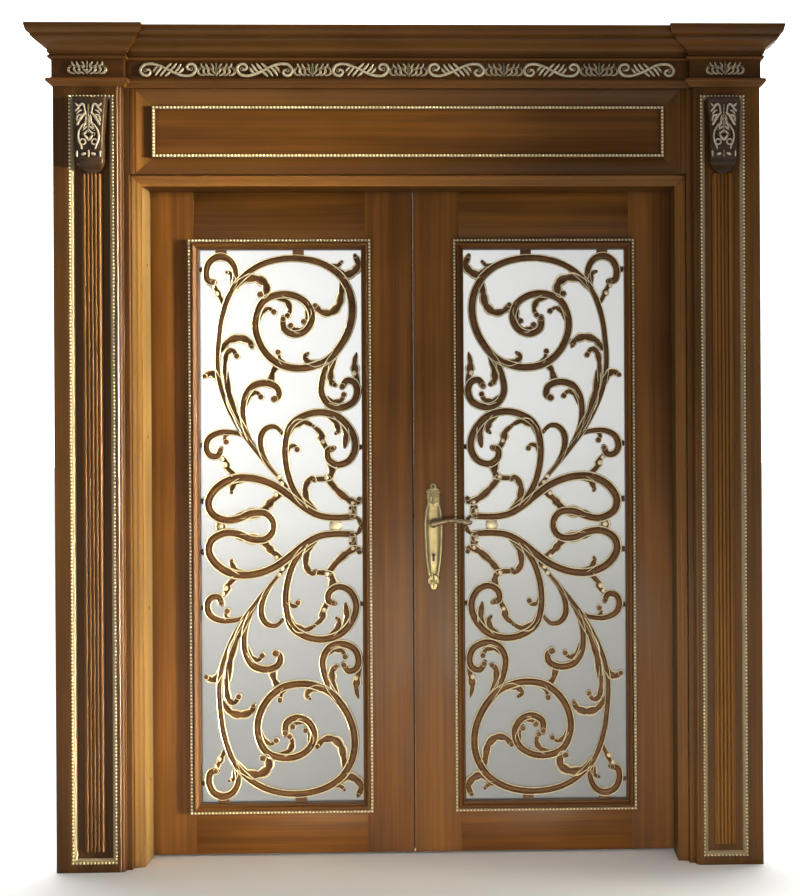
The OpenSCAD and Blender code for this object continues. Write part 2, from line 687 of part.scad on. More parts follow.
module cornice() {
  p = cornice_proud;
  h = cornice_h;
  section = concat(
    [[-cornice_root, 0], [p * 0.06, 0]],
    bead([p * 0.08, h * 0.07], h * 0.05, -60, 60, 4),
    [[p * 0.08, h * 0.14], [p * 0.08, h * 0.2], [p * 0.16, h * 0.2], [p * 0.16, h * 0.27]],
    cyma([p * 0.18, h * 0.28], [p * 0.7, h * 0.62], 7),
    [[p * 0.76, h * 0.62], [p * 0.76, h * 0.69]],
    ovolo([p * 0.78, h * 0.7], [p * 0.97, h * 0.9], 5),
    [[p, h * 0.91], [p, h], [-cornice_root, h]]
  );
  color(walnut) translate([0, 0, cornice_z]) moulding(entab_path, section);
}
module cornice_top_board() {
  outline = [for (i = [0 : len(entab_path) - 1]) entab_path[i] - mitre(entab_path, i, false) * cornice_root];
  color(walnut) translate([0, 0, door_top - top_board_t]) linear_extrude(top_board_t) polygon(outline);
}

// Carving on the frieze: S-scrolls and leaf sprays in turn, about its middle line
scroll_units = 6;
scroll_pitch = 2 * (half_block - 44) / (scroll_units - 0.42);
scroll_strokes = [
  [8, 9, 6, 5, [[-2, 1], [-28, 12], [-52, 18], [-72, 14], [-82, -1], [-76, -14], [-62, -17], [-53, -8],
    [-58, 0], [-67, -2]]],
  [8, 9, 6, 5, [[-2, 1], [27, -13], [49, -18], [70, -15], [82, 1], [76, 14], [64, 17], [55, 9],
    [60, 1], [68, 2]]],
  [4, 8, 5, 0, [[-44, -13], [-30, -6], [-16, -10], [-4, -18]]],
  [4, 8, 5, 0, [[-26, -1], [-12, -4], [2, -11], [14, -18]]],
  [4, 8, 5, 0, [[44, 13], [30, 6], [16, 10], [4, 18]]],
  [4, 8, 5, 0, [[26, 1], [12, 4], [-2, 11], [-14, 18]]]
];
spray_strokes = [
  [6, 9, 5, 0, [[0, -17], [0, 0], [0, 18]]],
  [5, 8, 5, 0, [[2, -14], [10, 2], [13, 17]]],
  [5, 9, 5, 0, [[4, -15], [18, -4], [27, 15]]],
  [5, 9, 5, 3, [[8, -16], [28, -8], [40, 5], [38, 14]]],
  [5, 8, 5, 3, [[16, -17], [38, -14], [52, -3], [53, 8]]],
  [4, 7, 4, 0, [[32, -16], [48, -17], [58, -12]]]
];
module frieze_carving() {
  color(gilt) upright(frieze_y) translate([0, frieze_z + frieze_h / 2]) linear_extrude(carving_relief)
    offset(delta = 0.05) {
      for (i = [0 : scroll_units - 1])
        translate([(i - (scroll_units - 1) / 2) * scroll_pitch, 0])
          mirror([0, i % 2]) for (s = scroll_strokes) stroke(s, 2);
      for (i = [0 : scroll_units - 2])
        translate([(i - (scroll_units - 2) / 2) * scroll_pitch, 0]) spray();
    }
}
module spray() {
  for (s = spray_strokes) {
    stroke(s, 2);
    mirror([1, 0]) stroke(s, 2);
  }
}
module frieze_palmettes() {
  x = (half_block + half_entab) / 2;
  color(gilt) upright(block_y) linear_extrude(carving_relief) offset(delta = 0.05)
    for (side = [-1, 1])
      translate([side * x, frieze_z + frieze_h / 2]) spray();
}

// Plain casing on the back of the doorway
back_path = let (x = half_rebate + back_casing_margin, z = rebate_top + back_casing_margin)
  [[-x, 0], [-x, z], [x, z], [x, 0]];
back_section = let (w = back_casing_w, t = back_casing_t)
  concat([[w, 0]], bead([w - 3, t - 3], 3, 0, 90, 3), bead([6, t - 6], 6, 90, 180, 4), [[0, 0]]);
module back_casing(from, to) {
  color(walnut) translate([0, lining_back_y, 0]) mirror([0, 1, 0]) upright(0)
    moulding(back_path, back_section, false, from, to);
}
module left_back_casing() back_casing(0, 1);
module head_back_casing() back_casing(1, 2);
module right_back_casing() back_casing(2, 3);

// Hinges: the frame half carries the pin, the door half turns on it

knuckle_h = hinge_h / 2 - 0.5;
// Plate from the edge back to the knuckle; x is the plate's face by the wood, drawn inwards by way
module hinge_plate(x, way, knuckle_z) {
  depth = hinge_plate_w - 1;
  translate([way > 0 ? x : x - hinge_plate_t, leaf_back_y - hinge_plate_w, -hinge_h / 2])
    cube([hinge_plate_t, depth, hinge_h]);
  translate([way > 0 ? x : x - hinge_plate_t, leaf_back_y - 1 - eps, knuckle_z])
    cube([hinge_plate_t, hinge_back + 1, knuckle_h]);
}
module hinge_frame_half() {
  difference() {
    union() {
      hinge_plate(half_rebate, 1, -hinge_h / 2);
      translate([hinge_x, hinge_y, -hinge_h / 2]) cylinder(d = knuckle_d, h = knuckle_h, $fn = 32);
    }
    translate([hinge_x, hinge_y, -hinge_h / 2 - 1]) cylinder(d = pin_d + 2 * pin_fit, h = hinge_h, $fn = 32);
  }
}
module hinge_door_half() {
  difference() {
    union() {
      hinge_plate(half_leaf, -1, 0.5);
      translate([hinge_x, hinge_y, 0.5]) cylinder(d = knuckle_d, h = knuckle_h, $fn = 32);
    }
    translate([hinge_x, hinge_y, 0]) cylinder(d = pin_d + 2 * pin_fit, h = hinge_h, $fn = 32);
  }
}
module right_hinge_frame_halves() color(brass) for (z = hinge_levels) translate([0, 0, z]) hinge_frame_half();
module left_hinge_frame_halves() mirror([1, 0, 0]) right_hinge_frame_halves();
module right_hinge_door_halves() color(brass) for (z = hinge_levels) translate([0, 0, z]) hinge_door_half();
module left_hinge_door_halves() mirror([1, 0, 0]) right_hinge_door_halves();
module hinge_pins() {
  color(steel) for (side = [-1, 1]) for (z = hinge_levels)
    translate([side * hinge_x, hinge_y, z - hinge_h / 2]) {
      cylinder(d = pin_d, h = hinge_h - 1, $fn = 32);
      translate([0, 0, -4]) cylinder(d = knuckle_d - 2, h = 4, $fn = 32);
    }
}

// Leaves, drawn for the right side

module hinge_stile() {
  color(walnut) difference() {
    translate([half_leaf - stile_w, leaf_y, floor_gap]) cube([stile_w, leaf_t, leaf_top - floor_gap]);
    hinge_mortises(half_leaf - hinge_plate_t - let_in, hinge_plate_t + let_in + eps);
  }
}
// A bead at the back of each meeting edge closes the view through the gap between the leaves
meeting_bead_d = 8;
meeting_bead_set = 1;
meeting_bead_clear = 0.5;
module meeting_stile() {
  translate([leaf_in, leaf_y, floor_gap]) cube([stile_w, leaf_t, leaf_top - floor_gap]);
  translate([meeting_bead_clear / 2, leaf_back_y - meeting_bead_set - meeting_bead_d, floor_gap])
    cube([leaf_in, meeting_bead_d, leaf_top - floor_gap]);
}
module rail(z, h) {
  color(walnut) translate([leaf_in + stile_w, leaf_y, z]) cube([glazed_w, leaf_t, h]);
}
module glass() {
  color(frosted) translate([leaf_mid - glazed_w / 2 + 1, leaf_y + glass_depth, glazed_z0 + 1])
    cube([glazed_w - 2, glass_t, glazed_h - 2]);
}

// Carved scroll grille in front of the glass, one solid
module grille() {
  color(walnut_dark) translate([0, leaf_y + grille_set + grille_t, 0]) rotate([90, 0, 0])
    linear_extrude(grille_t) offset(delta = 0.05) intersection() {
      translate([leaf_mid + sight_w / 2, glazed_mid]) grille_outline();
      translate([leaf_mid - sight_w / 2 + 0.2, glazed_mid - sight_h / 2 + 0.2])
        square([sight_w - 0.4, sight_h - 0.4]);
    }
}
module grille_outline() {
  scale([-sight_w / grille_ref[0], sight_h / grille_ref[1]]) {
    for (flip = [0, 1]) mirror([0, flip]) {
      for (s = grille_strokes) stroke(s);
      for (u = grille_tab_places)
        translate([u - grille_tab_w / 2, grille_tab_foot])
          square([grille_tab_w, grille_ref[1] / 2 - grille_tab_foot]);
    }
    translate(grille_ball_place) circle(grille_ball_r, $fn = 24);
  }
}

// Glazing moulding: a bolection that laps the leaf, with a seat for its beading
bead_seat = moulding_proud / 2;
module glazing_moulding() {
  p = moulding_proud;
  r = moulding_reach;
  d = glass_depth;
  out = r + moulding_lap;
  roll = out - bead_d - 2;
  section = concat(
    [[out, 0], [out, bead_seat], [roll + 1, bead_seat]],
    bead([roll - 4, p - 4], 4, 10, 120, 4),
    [for (q = cyma([p - 2, roll - 8], [4, 5], 5)) [q[1], q[0]]],
    [[3, 4], [3, 1], [0, 0], [0, -d], [r - let_in, -d], [r - let_in, 0]]
  );
  color(walnut) upright(leaf_y) moulding(frame_path(leaf_mid, glazed_mid - sight_h / 2,
    glazed_mid + sight_h / 2, sight_w), section, true);
}
module glazing_beading() {
  w = moulding_reach + moulding_lap - bead_d / 2;
  beading(frame_path(leaf_mid, glazed_mid - sight_h / 2 - w, glazed_mid + sight_h / 2 + w, sight_w + 2 * w),
    leaf_y - bead_seat);
}
// Bead that holds the glass from behind, flush with the leaf's back
module glass_bead() {
  d = leaf_t - glass_depth - glass_t;
  w = glass_bead_w;
  section = [[0, 0], [w - let_in, 0], [w - let_in, d], [w * 0.3, d], [0, d * 0.5]];
  color(walnut) translate([0, leaf_back_y - d, 0]) mirror([0, 1, 0]) upright(0)
    moulding(frame_path(leaf_mid, glazed_z0 + w, glazed_z1 - w, glazed_w - 2 * w), section, true);
}

module right_hinge_stile() hinge_stile();
module right_top_rail() rail(glazed_z1, top_rail_w);
module right_bottom_rail() rail(floor_gap, bottom_rail_w);
module right_glass() glass();
module right_grille() grille();
module right_glazing_moulding() glazing_moulding();
module right_glazing_beading() glazing_beading();
module right_glass_bead() glass_bead();
module left_hinge_stile() mirror([1, 0, 0]) hinge_stile();
module left_top_rail() mirror([1, 0, 0]) rail(glazed_z1, top_rail_w);
module left_bottom_rail() mirror([1, 0, 0]) rail(floor_gap, bottom_rail_w);
module left_glass() mirror([1, 0, 0]) glass();
module left_grille() mirror([1, 0, 0]) grille();
module left_glazing_moulding() mirror([1, 0, 0]) glazing_moulding();
module left_glazing_beading() mirror([1, 0, 0]) glazing_beading();
module left_glass_bead() mirror([1, 0, 0]) glass_bead();

// Lock, strike and bolts

case_wall = 1.5;
case_d = 86;
forend_t = 3;
forend_w = 24;
forend_h = 236;
latch_h = 20;
latch_z = handle_z + 24;
dead_h = 26;
dead_z = handle_z - 62;
follower_d = 24;
case_z0 = handle_z - case_h * 0.68;
forend_z0 = case_z0 + case_h / 2 - forend_h / 2;
handle_x = leaf_in + backset;
bolt_tongue_t = case_t - 2 * case_wall - 2 * slide_fit;

// Meeting stile of the right leaf, with the mortise for the lock
module right_meeting_stile() {
  color(walnut) difference() {
    meeting_stile();
    translate([leaf_in - 1, leaf_mid_y - forend_w / 2 - let_in, forend_z0 - let_in])
      cube([forend_t + let_in + 1, forend_w + 2 * let_in, forend_h + 2 * let_in]);
    translate([leaf_in, leaf_mid_y - case_t / 2 - let_in, case_z0 - let_in])
      cube([forend_t + case_d + let_in, case_t + 2 * let_in, case_h + 2 * let_in]);
    translate([handle_x, leaf_y - 1, handle_z]) rotate([-90, 0, 0]) cylinder(d = 20, h = leaf_t + 2, $fn = 32);
    keyhole(leaf_y - 1, leaf_t + 2);
  }
}
module keyhole(y, depth) {
  translate([handle_x, y, handle_z - key_drop]) {
    rotate([-90, 0, 0]) cylinder(d = 9, h = depth, $fn = 24);
    translate([-2.5, 0, -16]) cube([5, depth, 16]);
  }
}
module lock_case() {
  color(steel) difference() {
    union() {
      translate([leaf_in, leaf_mid_y - forend_w / 2, forend_z0]) cube([forend_t, forend_w, forend_h]);
      translate([leaf_in + forend_t - eps, leaf_mid_y - case_t / 2, case_z0]) cube([case_d, case_t, case_h]);
    }
    translate([leaf_in + forend_t, leaf_mid_y - case_t / 2 + case_wall, case_z0 + case_wall])
      cube([case_d - case_wall, case_t - 2 * case_wall, case_h - 2 * case_wall]);
    tongue_hole(latch_z, latch_h);
    tongue_hole(dead_z, dead_h);
    translate([handle_x, leaf_mid_y - case_t, handle_z]) rotate([-90, 0, 0])
      cylinder(d = 14, h = 2 * case_t, $fn = 32);
    keyhole(leaf_mid_y - case_t, 2 * case_t);
  }
}
module tongue_hole(z, h) {
  translate([leaf_in - 1, leaf_mid_y - bolt_tongue_t / 2 - slide_fit, z - h / 2 - slide_fit])
    cube([forend_t + 2, bolt_tongue_t + 2 * slide_fit, h + 2 * slide_fit]);
}
// Latch, shot at rest, with a bevelled nose
module latch_bolt() {
  nose = leaf_in - latch_throw;
  tail = leaf_in + forend_t + 40;
  t = bolt_tongue_t / 2;
  color(brass) translate([0, leaf_mid_y, latch_z - latch_h / 2]) linear_extrude(latch_h)
    polygon([[nose, t - 2], [nose, t], [tail, t], [tail, -t], [leaf_in, -t]]);
}
// Deadbolt, drawn back at rest
module deadbolt() {
  color(brass) translate([leaf_in + 0.5, leaf_mid_y - bolt_tongue_t / 2, dead_z - dead_h / 2])
    cube([forend_t + 50, bolt_tongue_t, dead_h]);
}

// Handle plates on both faces, a shaped outline on the plate's middle line
plate_shape = [[0, 6], [0.011, 10], [0.034, 12], [0.056, 16], [0.079, 21], [0.1, 20], [0.116, 17],
  [0.18, 20], [0.26, 23.5], [0.33, 26], [0.41, 27.7], [0.56, 29], [0.63, 29], [0.71, 27], [0.745, 26],
  [0.78, 23], [0.813, 20], [0.835, 20.5], [0.865, 21.5], [0.9, 21], [0.925, 23], [0.94, 21], [0.95, 13],
  [0.958, 8], [0.97, 10], [0.989, 8], [1, 3]];
plate_ring = 0.972;
plate_ring_d = 7;
plate_low = 0.62;
module plate_outline() {
  k = plate_w / 2 / max([for (p = plate_shape) p[1]]);
  half = [for (p = smooth(plate_shape, 2)) [p[1] * k, (p[0] - plate_low) * plate_h]];
  n = len(half);
  polygon(concat(half, [for (i = [n - 1 : -1 : 0]) [-half[i][0], half[i][1]]]));
}
module handle_plate(y) {
  difference() {
    translate([handle_x, y + plate_t, handle_z]) rotate([90, 0, 0]) linear_extrude(plate_t) plate_outline();
    translate([handle_x, y - 1, handle_z]) rotate([-90, 0, 0])
      cylinder(d = neck_d + 2 * pin_fit, h = plate_t + 2, $fn = 48);
    translate([handle_x, y - 1, handle_z + (plate_ring - plate_low) * plate_h]) rotate([-90, 0, 0])
      cylinder(d = plate_ring_d, h = plate_t + 2, $fn = 24);
    keyhole(y - 1, plate_t + 2);
  }
}
module handle_plates() {
  color(brass) {
    handle_plate(leaf_y - plate_t);
    handle_plate(leaf_back_y);
  }
}

// Lever pair on one square spindle, with the follower in the lock case
lever_shape = [[-9, 0, 8], [-6, 0, 9], [10, 2, 8.5], [30, 7, 6.5], [52, 11, 6.5], [75, 10, 7.5], [97, 6, 9],
  [110, 5, 8.5], [117, 5, 6], [120, 5, 2.5]];
module lever_arm(y) {
  sides = 12;
  k = lever_l / lever_shape[len(lever_shape) - 1][0];
  rings = [for (p = lever_shape) for (i = [0 : sides - 1])
    [p[0] * k, y + p[2] * cos(360 * i / sides), p[1] + p[2] * sin(360 * i / sides)]];
  polyhedron(rings, skin(len(lever_shape), sides, false));
}
module lever_handle() {
  front_y = leaf_y - plate_t - lever_out;
  back_y = leaf_back_y + plate_t + lever_out;
  spindle = 8;
  color(brass) translate([handle_x, 0, handle_z]) {
    for (run = [[front_y, leaf_y - plate_t * 0.5], [leaf_back_y + plate_t * 0.5, back_y]])
      translate([0, run[0], 0]) rotate([-90, 0, 0]) cylinder(d = neck_d, h = run[1] - run[0], $fn = 48);
    translate([-spindle / 2, front_y, -spindle / 2]) cube([spindle, back_y - front_y, spindle]);
    translate([0, leaf_mid_y - bolt_tongue_t / 2, 0]) rotate([-90, 0, 0])
      cylinder(d = follower_d, h = bolt_tongue_t, $fn = 32);
    lever_arm(front_y);
    lever_arm(back_y);
  }
}

// Meeting stile of the left leaf, with the flush bolts' bores and the strike's mortise
bolt_inset = 22;
bolt_x = -leaf_in - bolt_inset;
thumb_w = 6;
thumb_h = 24;
top_bolt_z = leaf_top - 1 - bolt_l;
bottom_bolt_z = floor_gap + 1;
bottom_thumb_z = bottom_bolt_z + bolt_l - 1.5 * thumb_h;
strike_t = 2.5;
strike_h = 150;
strike_w = 24;
strike_z0 = handle_z - 90;

module left_meeting_stile() {
  color(walnut) difference() {
    mirror([1, 0, 0]) meeting_stile();
    bolt_way(top_bolt_z - slide_fit, leaf_top + 1, top_bolt_z + thumb_h / 2, bolt_throw);
    bolt_way(floor_gap - 1, bottom_bolt_z + bolt_l + slide_fit, bottom_thumb_z, -bolt_throw);
    translate([-leaf_in - strike_t - let_in, leaf_mid_y - strike_w / 2 - let_in, strike_z0 - let_in])
      cube([strike_t + let_in + 1, strike_w + 2 * let_in, strike_h + 2 * let_in]);
    for (hole = strike_holes)
      translate([-leaf_in - dead_throw - 5, leaf_mid_y - case_t / 2, hole[0] - hole[1] / 2 - 2])
        cube([dead_throw + 4, case_t, hole[1] + 4]);
  }
}
strike_holes = [[latch_z, latch_h], [dead_z, dead_h]];
// Bore for a flush bolt, with the slot that its thumb piece slides in
module bolt_way(z0, z1, thumb_z, travel) {
  translate([bolt_x, leaf_mid_y, z0]) cylinder(d = bolt_d + 2 * slide_fit, h = z1 - z0, $fn = 32);
  translate([bolt_x, leaf_mid_y - thumb_w / 2 - slide_fit, thumb_z - slide_fit + min(travel, 0)])
    cube([bolt_inset + 1, thumb_w + 2 * slide_fit, thumb_h + abs(travel) + 2 * slide_fit]);
}
// Flush bolt, drawn back at rest, with its thumb piece just inside the leaf's edge
module flush_bolt(z0, thumb_z) {
  color(brass) {
    translate([bolt_x, leaf_mid_y, z0]) cylinder(d = bolt_d, h = bolt_l, $fn = 32);
    translate([bolt_x, leaf_mid_y - thumb_w / 2, thumb_z]) cube([bolt_inset - 0.5, thumb_w, thumb_h]);
  }
}
module top_flush_bolt() flush_bolt(top_bolt_z, top_bolt_z + thumb_h / 2);
module bottom_flush_bolt() flush_bolt(bottom_bolt_z, bottom_thumb_z);

module strike_plate() {
  color(brass) difference() {
    translate([-leaf_in - strike_t, leaf_mid_y - strike_w / 2, strike_z0]) cube([strike_t, strike_w, strike_h]);
    for (hole = strike_holes)
      translate([-leaf_in - strike_t - 1, leaf_mid_y - case_t / 2, hole[0] - hole[1] / 2 - 2])
        cube([strike_t + 2, case_t, hole[1] + 4]);
  }
}

left_jamb();
right_jamb();
head_jamb();
door_seals();
left_architrave();
right_architrave();
head_architrave();
left_pilaster();
right_pilaster();
left_reeded_panel();
right_reeded_panel();
left_pilaster_beading();
right_pilaster_beading();
left_corbel();
right_corbel();
overdoor_board();
overdoor_moulding();
overdoor_beading();
necking_moulding();
frieze_board();
left_frieze_block();
right_frieze_block();
frieze_carving();
frieze_palmettes();
cornice();
cornice_top_board();
left_back_casing();
right_back_casing();
head_back_casing();
left_hinge_frame_halves();
right_hinge_frame_halves();
hinge_pins();
left_hinge_door_halves();
right_hinge_door_halves();
left_hinge_stile();
left_meeting_stile();
left_top_rail();
left_bottom_rail();
left_glass();
left_grille();
left_glazing_moulding();
left_glazing_beading();
left_glass_bead();
right_hinge_stile();
right_meeting_stile();
right_top_rail();
right_bottom_rail();
right_glass();
right_grille();
right_glazing_moulding();
right_glazing_beading();
right_glass_bead();
strike_plate();
top_flush_bolt();
bottom_flush_bolt();
lock_case();
handle_plates();
lever_handle();
latch_bolt();
deadbolt();
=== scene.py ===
"""Baroque double door with its casing: looks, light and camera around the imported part."""
import math
import random

import bmesh
import bpy
import numpy as np
from mathutils import Matrix, Vector


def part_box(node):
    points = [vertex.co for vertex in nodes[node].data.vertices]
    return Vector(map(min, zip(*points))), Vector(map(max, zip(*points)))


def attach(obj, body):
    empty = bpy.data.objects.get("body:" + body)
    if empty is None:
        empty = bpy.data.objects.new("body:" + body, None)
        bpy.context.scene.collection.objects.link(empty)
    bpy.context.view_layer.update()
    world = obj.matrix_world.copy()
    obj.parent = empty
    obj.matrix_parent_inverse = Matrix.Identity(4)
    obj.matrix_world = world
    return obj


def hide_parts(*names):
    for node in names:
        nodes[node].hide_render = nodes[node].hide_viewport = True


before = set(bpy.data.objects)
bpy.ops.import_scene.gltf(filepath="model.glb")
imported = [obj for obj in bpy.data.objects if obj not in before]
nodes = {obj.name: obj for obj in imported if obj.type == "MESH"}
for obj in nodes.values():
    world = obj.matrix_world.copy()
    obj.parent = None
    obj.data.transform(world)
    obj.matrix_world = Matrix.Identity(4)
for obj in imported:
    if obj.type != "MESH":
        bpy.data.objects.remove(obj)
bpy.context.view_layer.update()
MM = 0.001
random.seed(7)

# Sizes that the part shares with its looks, in millimetres
ARCHITRAVE_W, ARCHITRAVE_T = 32, 25
MOULDING_LAP, MOULDING_REACH, MOULDING_PROUD, GLASS_DEPTH = 17, 13, 14, 24
BEAD_D, BEAD_STRIP_T, PEARL_R, PEARL_PITCH, RECESS_STEP = 8, 1.2, 3.7, 10.6, 8
OVERDOOR_FRAME_W, OVERDOOR_STRIP_W, OVERDOOR_SET = 60, 15, 4
CORNICE_ROOT = 18
GRILLE_REF, STEM_FULL, LEAF_FULL, CURL_FULL = (506, 1704), 1.18, 1.3, 1.5
REEDS, REED_W, REED_BASE, REED_EDGE = 5, 11, 5, 3
CORBEL_DROP, CORBEL_FOOT_W = 38, 80
FRIEZE_UNITS, FRIEZE_MARGIN, FRIEZE_SHORT = 6, 44, .42
PLATE_LOW, PLATE_T, LEVER_R = .62, 4, 9
KEYHOLE_DROP, KEYHOLE_R, EYE_HIGH, EYE_R = 97, 5.4, .972, 4

# Camera, fitted to the photo: place in metres, lens in millimetres, shift as a share of the picture
CAMERA_PLACE, CAMERA_LENS, CAMERA_SHIFT = (.2427, -4.935, 1.300), 65.09, (-.1537, -.0187)


# Shapes
class Shape:
    """Vertices and faces of one piece, with its grain coordinates and its share of gilding."""

    def __init__(self):
        self.verts, self.faces, self.grain, self.gilt = [], [], [], []

    def add(self, verts, faces, grain=None, gilt=0.0):
        start = len(self.verts)
        verts = [tuple(v) for v in verts]
        self.verts += verts
        self.faces += [tuple(start + i for i in f) for f in faces]
        self.grain += [tuple(g) for g in grain] if grain is not None else verts
        self.gilt += list(gilt) if hasattr(gilt, "__len__") else [gilt] * len(verts)

    def skin(self, rings, around=True, caps=True, grain=None, gilt=0.0, loop=False):
        """Faces over rings of points; around closes each ring, loop closes the row of rings."""
        k, m = len(rings), len(rings[0])
        faces = []
        for i in range(k if loop else k - 1):
            for j in range(m if around else m - 1):
                a, b = i * m, ((i + 1) % k) * m
                faces.append((a + j, b + j, b + (j + 1) % m, a + (j + 1) % m))
        if caps and not loop:
            faces += [tuple(range(m)), tuple(range((k - 1) * m, k * m))[::-1]]
        self.add([p for r in rings for p in r], faces, grain, gilt)

    def piece(self, name, material, body, replaced, slot, angle=38):
        mesh = bpy.data.meshes.new(name)
        mesh.from_pydata(self.verts, [], self.faces)
        for label, kind, values in (("grain", "FLOAT_VECTOR", self.grain), ("gilt", "FLOAT", self.gilt)):
            layer = mesh.attributes.new(label, kind, "POINT")
            field = "vector" if kind == "FLOAT_VECTOR" else "value"
            layer.data.foreach_set(field, np.array(values, np.float32).ravel())
        bm = bmesh.new()
        bm.from_mesh(mesh)
        bmesh.ops.recalc_face_normals(bm, faces=bm.faces)
        bm.to_mesh(mesh)
        bm.free()
        mesh.shade_smooth()
        mesh.set_sharp_from_angle(angle=math.radians(angle))
        mesh.materials.append(material)
        obj = bpy.data.objects.new(name, mesh)
        bpy.context.scene.collection.objects.link(obj)
        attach(obj, body)
        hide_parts(*replaced)
        return obj


def left_of(v):
    return np.array([-v[1], v[0]])


def unit(v):
    return v / np.linalg.norm(v)


def arc(centre, r, start, end, n=8):
    return [(centre[0] + r * math.cos(math.radians(start + (end - start) * i / n)),
             centre[1] + r * math.sin(math.radians(start + (end - start) * i / n))) for i in range(n + 1)]


def circle(sides):
    """Points of a unit circle."""
    return [(math.cos(2 * math.pi * i / sides), math.sin(2 * math.pi * i / sides)) for i in range(sides)]


def cyma(p, q, n=12):
    """S-curve from p to q, flat at both ends along the second axis."""
    return [(p[0] + (q[0] - p[0]) * (1 - math.cos(math.pi * i / n)) / 2, p[1] + (q[1] - p[1]) * i / n)
            for i in range(n + 1)]


def swap(points):
    return [(b, a) for a, b in points]


def sweep(shape, path, section, place, closed=False, runs=None):
    """A moulding with mitred corners; each straight run is a stick of its own, with grain along it."""
    path = [np.array(p, float) for p in path]
    n = len(path)

    def mitre(i):
        before = unit(path[i] - path[i - 1])
        after = unit(path[(i + 1) % n] - path[i])
        a = left_of(after if not closed and i == 0 else before)
        b = left_of(before if not closed and i == n - 1 else after)
        return (a + b) / (1 + a @ b)

    girth = np.concatenate([[0], np.cumsum([math.dist(a, b) for a, b in zip(section, section[1:])])])
    for i in runs if runs is not None else range(n if closed else n - 1):
        ends, along, seed = [i, (i + 1) % n], unit(path[(i + 1) % n] - path[i]), random.random() * 9
        rings, grain = [], []
        for e in ends:
            d = mitre(e)
            ring = [path[e] + d * q[0] * MM for q in section]
            rings.append([place(p, q[1] * MM) for p, q in zip(ring, section)])
            grain += [(float(p @ along) + seed, g * MM + seed, seed) for p, g in zip(ring, girth)]
        shape.skin(rings, caps=not closed, grain=grain)


def smooth(points, n):
    """Smooth line through given points."""
    p = [np.array(q, float) for q in points]
    line = []
    for i in range(len(p) - 1):
        a, b, c, d = p[max(i - 1, 0)], p[i], p[i + 1], p[min(i + 2, len(p) - 1)]
        for k in range(n):
            t = k / n
            line.append(0.5 * (2 * b + (c - a) * t + (2 * a - 5 * b + 4 * c - d) * t ** 2
                               + (3 * b - a - 3 * c + d) * t ** 3))
    return np.array(line + [p[-1]])


# Carved sections: place across the band, depth behind its front as a share, share of gilding
STEM = [(-1, .60, .35), (-.97, .16, .8), (-.86, .02, 1), (-.72, .10, .8), (-.60, .34, .05), (-.40, .19, 0),
        (-.16, .10, 0), (.16, .10, 0), (.40, .19, 0), (.60, .34, .05), (.72, .10, .8), (.86, .02, 1),
        (.97, .16, .8), (1, .60, .35)]
HOLLOW = [(-1, .60, .4), (-.97, .18, .85), (-.86, .02, 1), (-.72, .08, .8), (-.5, .34, .1), (-.2, .44, 0),
          (.2, .44, 0), (.5, .34, .1), (.72, .08, .8), (.86, .02, 1), (.97, .18, .85), (1, .60, .4)]
ROUND = [(-1, .7, .3), (-.88, .38, .55), (-.62, .14, .8), (-.3, .02, 1), (0, 0, 1), (.3, .02, 1),
         (.62, .14, .8), (.88, .38, .55), (1, .7, .3)]
VEINED = [(-1, .75, .4), (-.85, .4, .7), (-.55, .08, 1), (-.25, .12, .8), (0, .4, .1), (.25, .12, .8),
          (.55, .08, 1), (.85, .4, .7), (1, .75, .4)]


def stroke(shape, s, place, thick, section, steps=5, full=24.0, lobes=0, dive=(0, 0)):
    """One carved stroke s = (root, belly, tip, bulb, points); its ends may dive under what they grow from."""
    root, belly, tip, bulb, points = s
    line = smooth(points, steps)
    n = len(line)
    share = np.linspace(0, 1, n)
    half = np.interp(share, (0, .5, 1), (root, belly, tip)) / 2
    if lobes:
        half = half * (.9 + .34 * np.abs(np.sin(math.pi * lobes * share)) * np.clip(share * 4, 0, 1))
    run = np.concatenate([[0], np.cumsum(np.linalg.norm(np.diff(line, axis=0), axis=1))])
    sink = dive[0] * np.clip(1 - run / (1.6 * root), 0, 1)
    sink += dive[1] * np.clip(1 - (run[-1] - run) / (1.6 * tip), 0, 1)
    way = np.gradient(line, axis=0)
    way /= np.linalg.norm(way, axis=1)[:, None]
    cap = [(math.sin(a), math.cos(a)) for a in (.5, 1.0, 1.4)]
    line = np.vstack([[line[0] - way[0] * half[0] * c for c, _ in reversed(cap)], line,
                      [line[-1] + way[-1] * half[-1] * c for c, _ in cap]])
    half = np.concatenate([[half[0] * w for _, w in reversed(cap)], half, [half[-1] * w for _, w in cap]])
    way = np.vstack([[way[0]] * 3, way, [way[-1]] * 3])
    sink = np.concatenate([[sink[0]] * 3, sink, [sink[-1]] * 3])
    rings, gilt = [], []
    for p, w, h, d in zip(line, way, half, sink):
        side = left_of(w)
        low = thick * .3 * (1 - min(1.0, 2 * h / full)) + d
        deep = min(thick * .9, 1.2 * h)
        ring = [place(p + side * h * a, min(low + c * deep, thick)) for a, c, _ in section]
        ring += [place(p + side * h * .9, thick), place(p - side * h * .9, thick)]
        rings.append(ring)
        gilt += [g for _, _, g in section] + [0, 0]
    shape.skin(rings, gilt=gilt)
    if bulb:
        knob(shape, line[-4], bulb, place, thick, .95)


